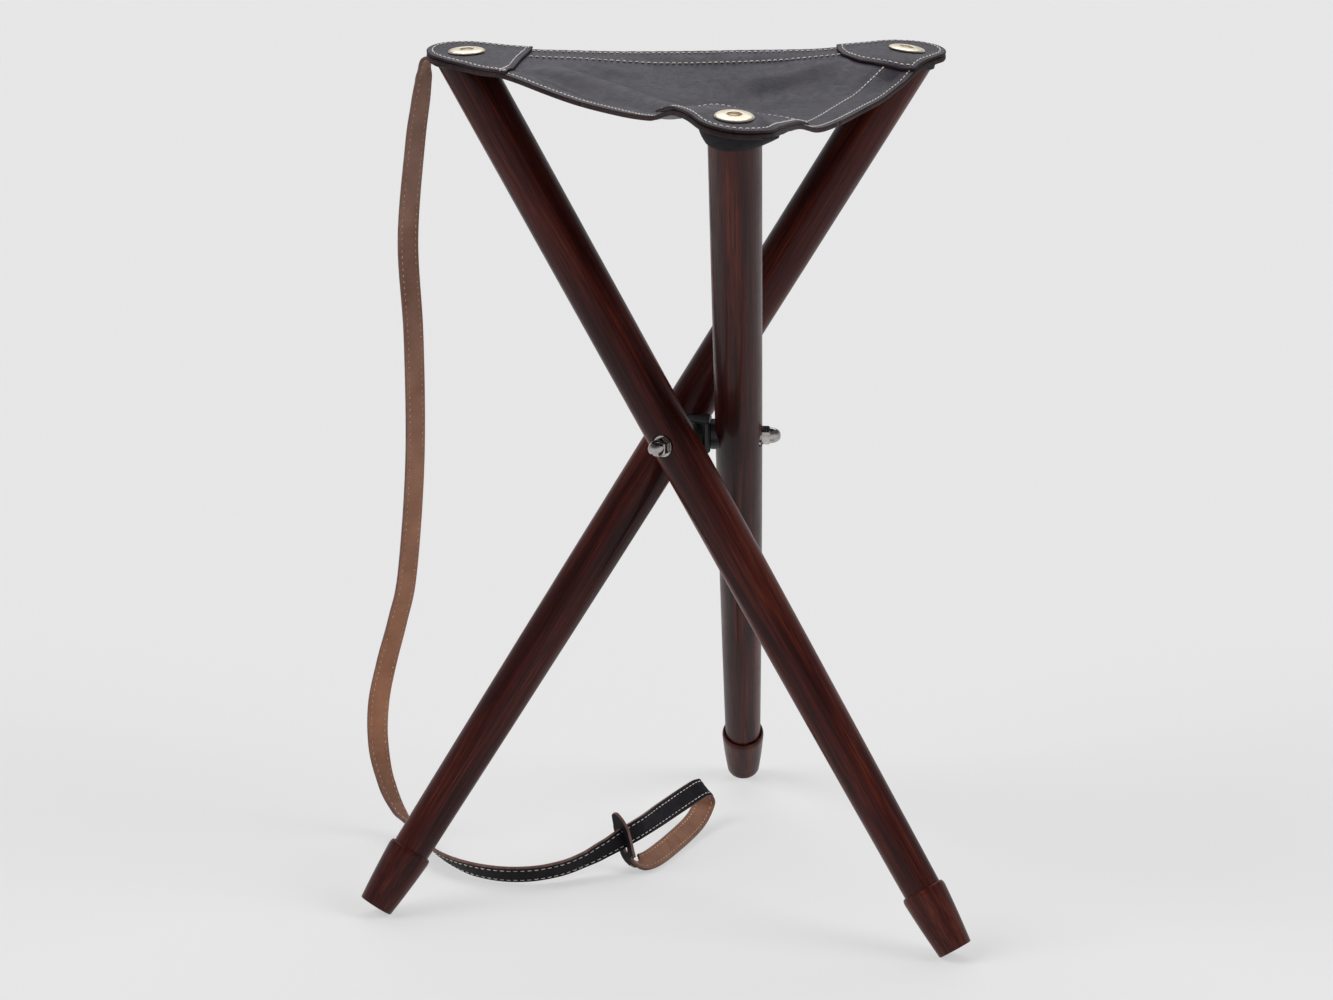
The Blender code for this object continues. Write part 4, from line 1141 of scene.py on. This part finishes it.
def pocket_piece(key, finishes):
    """A leather bowl round the outer side of a leg top, from the seat's rim in to the leg."""
    lean = heading(LEAN_TURN).to_3d()
    side = Vector((-lean.y, lean.x, 0))
    rim = CORNER_TIP_RADIUS - POCKET_LEATHER - 0.6 * Vector(POCKET_SHIFT[key]).length
    front_drop, end_drop = POCKET_DROPS[key]
    shift = (Matrix.Rotation(-corner_turn(key), 2) @ Vector(POCKET_SHIFT[key])).to_3d()
    steps = 56

    def point(turn, share, layer):
        front = max(0.0, math.cos(turn * math.pi / 2 / POCKET_SWEEP))
        drop = end_drop + (front_drop - end_drop) * front
        radius = LEG_TOP_RADIUS + CLEARANCE + layer
        leg_centre = Vector((SCREW_INSET, 0, -drop)) - lean * drop * LEAN_SIN / LEAN_COS
        on_leg = leg_centre + lean * radius / LEAN_COS * math.cos(turn) + side * radius * math.sin(turn)
        outwards = lean * math.cos(turn) + side * math.sin(turn)
        on_rim = (rim + layer) * outwards + shift
        plan = in_corner(key, on_rim.xy)
        on_rim.z = seat_top(plan) - SEAT_Z - panel_thickness(plan) - CLEARANCE
        belly = POCKET_BELLY * math.sin(math.pi * share)
        return on_rim.lerp(on_leg, share) + belly * outwards

    shares = [i / 12 for i in range(12)] + [0.975]
    rings = []
    for i in range(steps + 1):
        turn = POCKET_SWEEP * (2 * i / steps - 1)
        ring = [point(turn, share, 0.0) for share in shares]
        ring.append(point(turn, 1.0, POCKET_LEATHER * 0.25))
        ring.append(point(turn, 1.0, POCKET_LEATHER * 0.75))
        ring += [point(turn, share, POCKET_LEATHER) for share in reversed(shares)]
        rings.append(ring)
    points, faces = loft(rings)
    finish = [finishes["lining"]]
    return add_piece(f"pocket_leather_{key}", points, faces, finish, place=corner_frame(key), sharp=60)


# Legs, feet and fixings

def leg_radius(height):
    """Radius of a leg along its axis: a slight belly that thins to the foot."""
    if height >= 0:
        return LEG_PIVOT_RADIUS + (LEG_TOP_RADIUS - LEG_PIVOT_RADIUS) * height / LEG_ABOVE
    share = height / (FOOT_LENGTH - LEG_BELOW)
    straight = LEG_PIVOT_RADIUS + (LEG_LOW_RADIUS - LEG_PIVOT_RADIUS) * share
    return straight + 0.1 * (LEG_PIVOT_RADIUS - LEG_LOW_RADIUS) * 4 * share * (1 - share)


def leg_piece(key, finishes):
    """A turned leg with a slanted top and the flat its washer sits on."""
    sides = 72
    bottom = FOOT_LENGTH - LEG_BELOW - FOOT_CUP_DEPTH + CLEARANCE
    heights = [bottom + (LEG_ABOVE - 0.03 - bottom) * i / 44 for i in range(45)]
    rings = [circle(leg_radius(height), height, sides) for height in heights]
    top = circle(LEG_TOP_RADIUS, LEG_ABOVE, sides)
    rings.append([Vector((p.x, p.y, p.z - p.y * LEAN_SIN / LEAN_COS)) for p in top])
    points, faces = loft(rings)
    place = leg_frame(key)
    leg = add_piece(f"turned_leg_{key}", points, faces, [finishes["wood"]], place=place)
    across = place @ Matrix.Rotation(math.pi / 2, 4, "Y")
    flat = turned([(SPOT_FACE_RADIUS, SPOT_FACE_SEAT), (SPOT_FACE_RADIUS, LEG_TOP_RADIUS + CUT_MARGIN)], 64)
    carve(leg, [add_piece("spot_face_tool", *flat, [finishes["wood"]], place=across)])
    return leg


def foot_piece(key, finishes):
    """A turned foot with a rounded shoulder, cupped over the end of the leg."""
    end = -LEG_BELOW
    shoulder = end + FOOT_LENGTH - FOOT_SHOULDER_ROUND
    rim = leg_radius(end + FOOT_LENGTH) + CLEARANCE
    profile = [
        (0.0015, end + 0.0002),
        (FOOT_END_RADIUS - 2 * FOOT_END_BEVEL, end + 0.0001),
        (FOOT_END_RADIUS - FOOT_END_BEVEL, end),
        (FOOT_END_RADIUS - 0.3 * FOOT_END_BEVEL, end + 0.3 * FOOT_END_BEVEL),
        (FOOT_END_RADIUS, end + FOOT_END_BEVEL),
    ]
    for i in range(1, 13):
        share = i / 12
        belly = 0.0003 * math.sin(math.pi * share)
        radius = FOOT_END_RADIUS + (FOOT_SHOULDER_RADIUS - FOOT_END_RADIUS) * share + belly
        profile.append((radius, end + FOOT_END_BEVEL + (shoulder - end - FOOT_END_BEVEL) * share))
    round_width = FOOT_SHOULDER_RADIUS - rim - FOOT_END_BEVEL
    for i in range(1, 9):
        turn = math.pi / 2 * i / 8
        radius = FOOT_SHOULDER_RADIUS - round_width * (1 - math.cos(turn))
        profile.append((radius, shoulder + FOOT_SHOULDER_ROUND * math.sin(turn)))
    profile += [(rim + 0.0003, end + FOOT_LENGTH - 0.0003), (rim, end + FOOT_LENGTH - FOOT_CUP_DEPTH)]
    points, faces = turned(profile, 72)
    return add_piece(f"turned_foot_{key}", points, faces, [finishes["wood"]], place=leg_frame(key), sharp=50)


def nut_piece(key, finishes):
    """A domed hexagon nut with chamfered corners."""
    sides = 96
    flat = NUT_ACROSS_FLATS / 2
    sixth = math.pi / 3
    corner = flat / math.cos(sixth / 2)
    seat = PIVOT_RADIUS + SPOT_FACE_SEAT + WASHER_THICKNESS + 2 * CLEARANCE

    def hexagon(height, limit):
        points = []
        for point in circle(1.0, height, sides):
            from_flat = (math.atan2(point.y, point.x) % sixth) - sixth / 2
            radius = min(flat / math.cos(from_flat), limit)
            points.append(Vector((radius * point.x, radius * point.y, height)))
        return points

    rings = [circle(0.0040, 0.0, sides)]
    rings += [hexagon(0.0, corner - NUT_BASE_CHAMFER), hexagon(NUT_CHAMFER_HEIGHT, corner)]
    rings += [hexagon(NUT_HEX_HEIGHT * i / 4, corner) for i in range(1, 4)]
    rings.append(hexagon(NUT_HEX_HEIGHT - NUT_CHAMFER_HEIGHT, corner - 0.0001))
    rings.append(hexagon(NUT_HEX_HEIGHT, corner - NUT_CHAMFER))
    rise = NUT_HEIGHT - NUT_HEX_HEIGHT - CLEARANCE
    for i in range(15):
        turn = math.radians(88) * i / 14
        radius = NUT_DOME_RADIUS * math.cos(turn) ** 0.8
        rings.append(circle(radius, NUT_HEX_HEIGHT + CLEARANCE + rise * math.sin(turn), sides))
    points, faces = loft(rings)
    place = arm_frame(key) @ Matrix.Translation((seat, 0, 0)) @ Matrix.Rotation(math.pi / 2, 4, "Y")
    return add_piece(f"domed_nut_{key}", points, faces, [finishes["nickel"]], place=place, sharp=24)


def cup_piece(key, finishes):
    """A brass cup washer, gently domed, with a rolled rim and a sunk middle."""
    base = 3 * CLEARANCE + LEATHER + CAP_LEATHER
    profile = [
        (CUP_HOLE_RADIUS, base), (CUP_RADIUS - 0.0004, base), (CUP_RADIUS - 0.0001, base + 0.0002),
        (CUP_RADIUS, base + 0.0006), (CUP_RADIUS - 0.0003, base + CUP_RIM),
    ]
    for i in range(1, 11):
        share = i / 10
        radius = CUP_RADIUS - 0.0003 - (CUP_RADIUS - CUP_RECESS_RADIUS - 0.0012) * share
        dome = math.sin(share * math.pi / 2) ** 0.6
        profile.append((radius, base + CUP_RIM + (CUP_HEIGHT - CUP_RIM) * dome))
    profile += [
        (CUP_RECESS_RADIUS + 0.0003, base + CUP_HEIGHT - 0.0002),
        (CUP_RECESS_RADIUS, base + CUP_HEIGHT - 0.0006),
        (CUP_RECESS_RADIUS - 0.0003, base + CUP_RECESS_FLOOR),
        (CUP_HOLE_RADIUS, base + CUP_RECESS_FLOOR),
    ]
    rings = [circle(radius, height, CUP_SIDES) for radius, height in profile]
    points, faces = loft(rings, ends=False)
    # The hollow middle takes the brown brass: partly tarnish, partly painted shade
    finish_of = row_finishes(len(rings) - 1, CUP_SIDES, range(len(rings) - 3, len(rings)))
    finish = [finishes["brass"], finishes["tarnish_and_shade"]]
    return add_piece(f"brass_cup_{key}", points, faces, finish, finish_of, cup_frame(key), sharp=50)


def screw_piece(key, finishes):
    """The slotted screw head in the cup."""
    seat = 4 * CLEARANCE + LEATHER + CAP_LEATHER + CUP_RECESS_FLOOR
    shoulder = seat + SCREW_HEAD_BEVEL
    profile = [
        (SCREW_SHANK_RADIUS, seat - 0.0100), (SCREW_SHANK_RADIUS, seat),
        (SCREW_HEAD_RADIUS - SCREW_HEAD_BEVEL, seat), (SCREW_HEAD_RADIUS, shoulder),
    ]
    for i in range(1, 7):
        turn = math.pi / 2 * i / 7
        rise = (SCREW_HEAD_HEIGHT - SCREW_HEAD_BEVEL) * math.sin(turn)
        profile.append((SCREW_HEAD_RADIUS * math.cos(turn), shoulder + rise))
    place = cup_frame(key)
    # The head takes the brown brass of the hollow: partly tarnish, partly painted shade
    screw = add_piece(f"brass_screw_{key}", *turned(profile, 48), [finishes["tarnish_and_shade"]], place=place)
    half = SCREW_SLOT_WIDTH / 2
    low, high = seat + SCREW_HEAD_HEIGHT - SCREW_SLOT_DEPTH, seat + 0.004
    ring = [(-half, low), (half, low), (half, high), (-half, high)]
    slot = loft([[Vector((x, y, z)) for y, z in ring] for x in (-0.008, 0.008)])
    turned_slot = place @ Matrix.Rotation(SCREW_TURNS[key], 4, "Z")
    carve(screw, [add_piece("slot_tool", *slot, [finishes["tarnish_and_shade"]], place=turned_slot)])
    return screw


# Strap

def strap_stations():
    """Centre, width direction and tan side at steps along the strap, in the model's frame."""
    centres = [STOOL_AXIS + Vector(centre) for centre, facing in STRAP_ROUTE]
    facings = [Vector(facing).normalized() for centre, facing in STRAP_ROUTE]
    last = len(centres) - 1
    places = [(i, step / STRAP_STEPS) for i in range(last) for step in range(STRAP_STEPS)] + [(last - 1, 1.0)]
    middles = [through(centres, index, share) for index, share in places]
    stations = []
    for n, (index, share) in enumerate(places):
        along = (middles[min(n + 1, len(middles) - 1)] - middles[max(n - 1, 0)]).normalized()
        facing = facings[index].lerp(facings[index + 1], smooth_step(share))
        facing = (facing - along * facing.dot(along)).normalized()
        stations.append((middles[n], along.cross(facing), facing))
    return stations


def strap_widths(stations):
    """Share of the strap's width at every station: full, then a rounded point."""
    left = [0.0]
    for after, before in zip(stations[::-1], stations[-2::-1]):
        left.append(left[-1] + (after[0] - before[0]).length)
    more = 1 - STRAP_TIP_SHARE
    return [min(1.0, STRAP_TIP_SHARE + more * min(1.0, gone / STRAP_TIP) ** 0.6) for gone in reversed(left)]


def strap_piece(stations, finishes):
    """The flat strap with a slit in its pointed end, tan on one side and black on the other."""
    widths = strap_widths(stations)
    half = STRAP_WIDTH / 2
    soft = 0.0006
    columns = [-half + soft, -half * 0.55, -SLIT_WIDTH / 2, SLIT_WIDTH / 2, half * 0.55, half - soft]
    rows = []
    for (centre, across, facing), width in zip(stations, widths):
        row = [centre + across * u * width + facing * STRAP_THICKNESS / 2 for u in columns]
        row.append(centre + across * half * width)
        row += [centre + across * u * width - facing * STRAP_THICKNESS / 2 for u in reversed(columns)]
        row.append(centre - across * half * width)
        rows.append(row)
    count = len(rows[0])
    middle = SLIT_POINT * STRAP_STEPS
    step = (stations[middle][0] - stations[middle - 1][0]).length
    reach = round(SLIT_LENGTH / 2 / step)
    points = [point for row in rows for point in row]
    faces, finish_of = [], []

    def add(face, finish):
        faces.append(face)
        finish_of.append(finish)

    side_finish = [0] * 5 + [2, 2] + [1] * 5 + [2, 2]
    for n in range(len(rows) - 1):
        slit = middle - reach <= n < middle + reach
        low, high = n * count, (n + 1) * count
        for i in range(count):
            if slit and i in (2, 9):
                continue
            j = (i + 1) % count
            add((low + i, low + j, high + j, high + i), side_finish[i])
        if slit:
            add((low + 2, high + 2, high + 10, low + 10), 2)
            add((low + 9, high + 9, high + 3, low + 3), 2)
    for n in (middle - reach, middle + reach):
        base = n * count
        wall = (base + 2, base + 10, base + 9, base + 3)
        add(wall if n == middle - reach else tuple(reversed(wall)), 2)
    add(tuple(reversed(range(count))), 2)
    add(tuple(range((len(rows) - 1) * count, len(rows) * count)), 2)
    finish = [finishes["flesh"], finishes["lining"], finishes["strap_edge"]]
    return add_piece("carrying_strap", points, faces, finish, finish_of, sharp=50)


def strap_rows(stations, side):
    """Stitch lines near both edges of the strap, on its tan side (1) or its black side (-1)."""
    sewn = list(zip(stations, strap_widths(stations)))[STRAP_ROW_START:STRAP_STEPS * (SLIT_POINT - 1)]
    rows = []
    for edge in (1, -1):
        line = []
        for (centre, across, facing), width in sewn:
            offset = edge * (STRAP_WIDTH / 2 * width - STRAP_ROW)
            line.append((centre + across * offset + facing * side * STRAP_THICKNESS / 2, facing * side))
        rows.append(line)
    return rows


# Assembly

def build_strap(finishes):
    stations = strap_stations()
    strap = strap_piece(stations, finishes)
    black_side = sew(
        "strap_stitches_black_side", strap_rows(stations, -1), finishes["thread"],
        STRAP_STITCH, STRAP_STITCH_GAP, STRAP_THREAD_RADIUS,
    )
    tan_side = sew(
        "strap_stitches_tan_side", strap_rows(stations, 1), finishes["tan_thread"],
        BACK_STITCH, BACK_STITCH_GAP, BACK_THREAD_RADIUS,
    )
    for piece in (strap, black_side, tan_side):
        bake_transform(piece)
    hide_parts("strap")


def build_seat(finishes):
    """Three thirds of one panel, one at each leg, with their stitches."""
    for key in ARM_TURN:
        panel = seat_third(key, finishes)
        stitches = sew(f"seat_stitches_{key}", seat_rows(key), finishes["thread"], STITCH, STITCH_GAP)
        for piece in (panel, stitches):
            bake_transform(piece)
        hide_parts("seat_panel")


def build_corner(key, finishes):
    body = f"leg_{key}"
    cap = cap_piece(key, finishes)
    stitches = sew(f"cap_stitches_{key}", cap_row(key), finishes["thread"], STITCH, STITCH_GAP)
    pocket = pocket_piece(key, finishes)
    for piece in (cap, stitches, pocket):
        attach(piece, body)
    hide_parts(f"corner_cap_{key}")
    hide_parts(f"corner_pocket_{key}")
    for piece, node in ((cup_piece(key, finishes), "cup_washer"), (screw_piece(key, finishes), "seat_screw")):
        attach(piece, body)
        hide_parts(f"{node}_{key}")


def build_leg(key, finishes):
    body = f"leg_{key}"
    for piece, node in ((leg_piece(key, finishes), "leg"), (foot_piece(key, finishes), "foot")):
        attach(piece, body)
        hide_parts(f"{node}_{key}")
    nut = nut_piece(key, finishes)
    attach(nut, "hub")
    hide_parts(f"acorn_nut_{key}")


def dress_frame_nodes(finishes):
    """Finishes of the pieces that are shown as the frame has them."""
    finish_of = {"pivot_hub": "polymer"}
    for key in ARM_TURN:
        finish_of[f"saddle_{key}"] = "polymer"
        finish_of[f"stud_{key}"] = "nickel"
        finish_of[f"washer_{key}"] = "nickel"
    for name, finish in finish_of.items():
        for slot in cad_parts[name].material_slots:
            slot.material = finishes[finish]


def lay_floor(finishes):
    corners = [Vector((x, y, 0.0)) for x, y in ((-14, -14), (14, -14), (14, 14), (-14, 14))]
    add_piece("studio_floor", corners, [(0, 1, 2, 3)], [finishes["floor"]])


def main():
    bpy.context.scene.view_settings.view_transform = "Standard"
    aim_camera()
    finishes = make_finishes()
    build_strap(finishes)
    build_seat(finishes)
    for key in ARM_TURN:
        build_leg(key, finishes)
        build_corner(key, finishes)
    dress_frame_nodes(finishes)
    lay_floor(finishes)
    light_studio()


main()
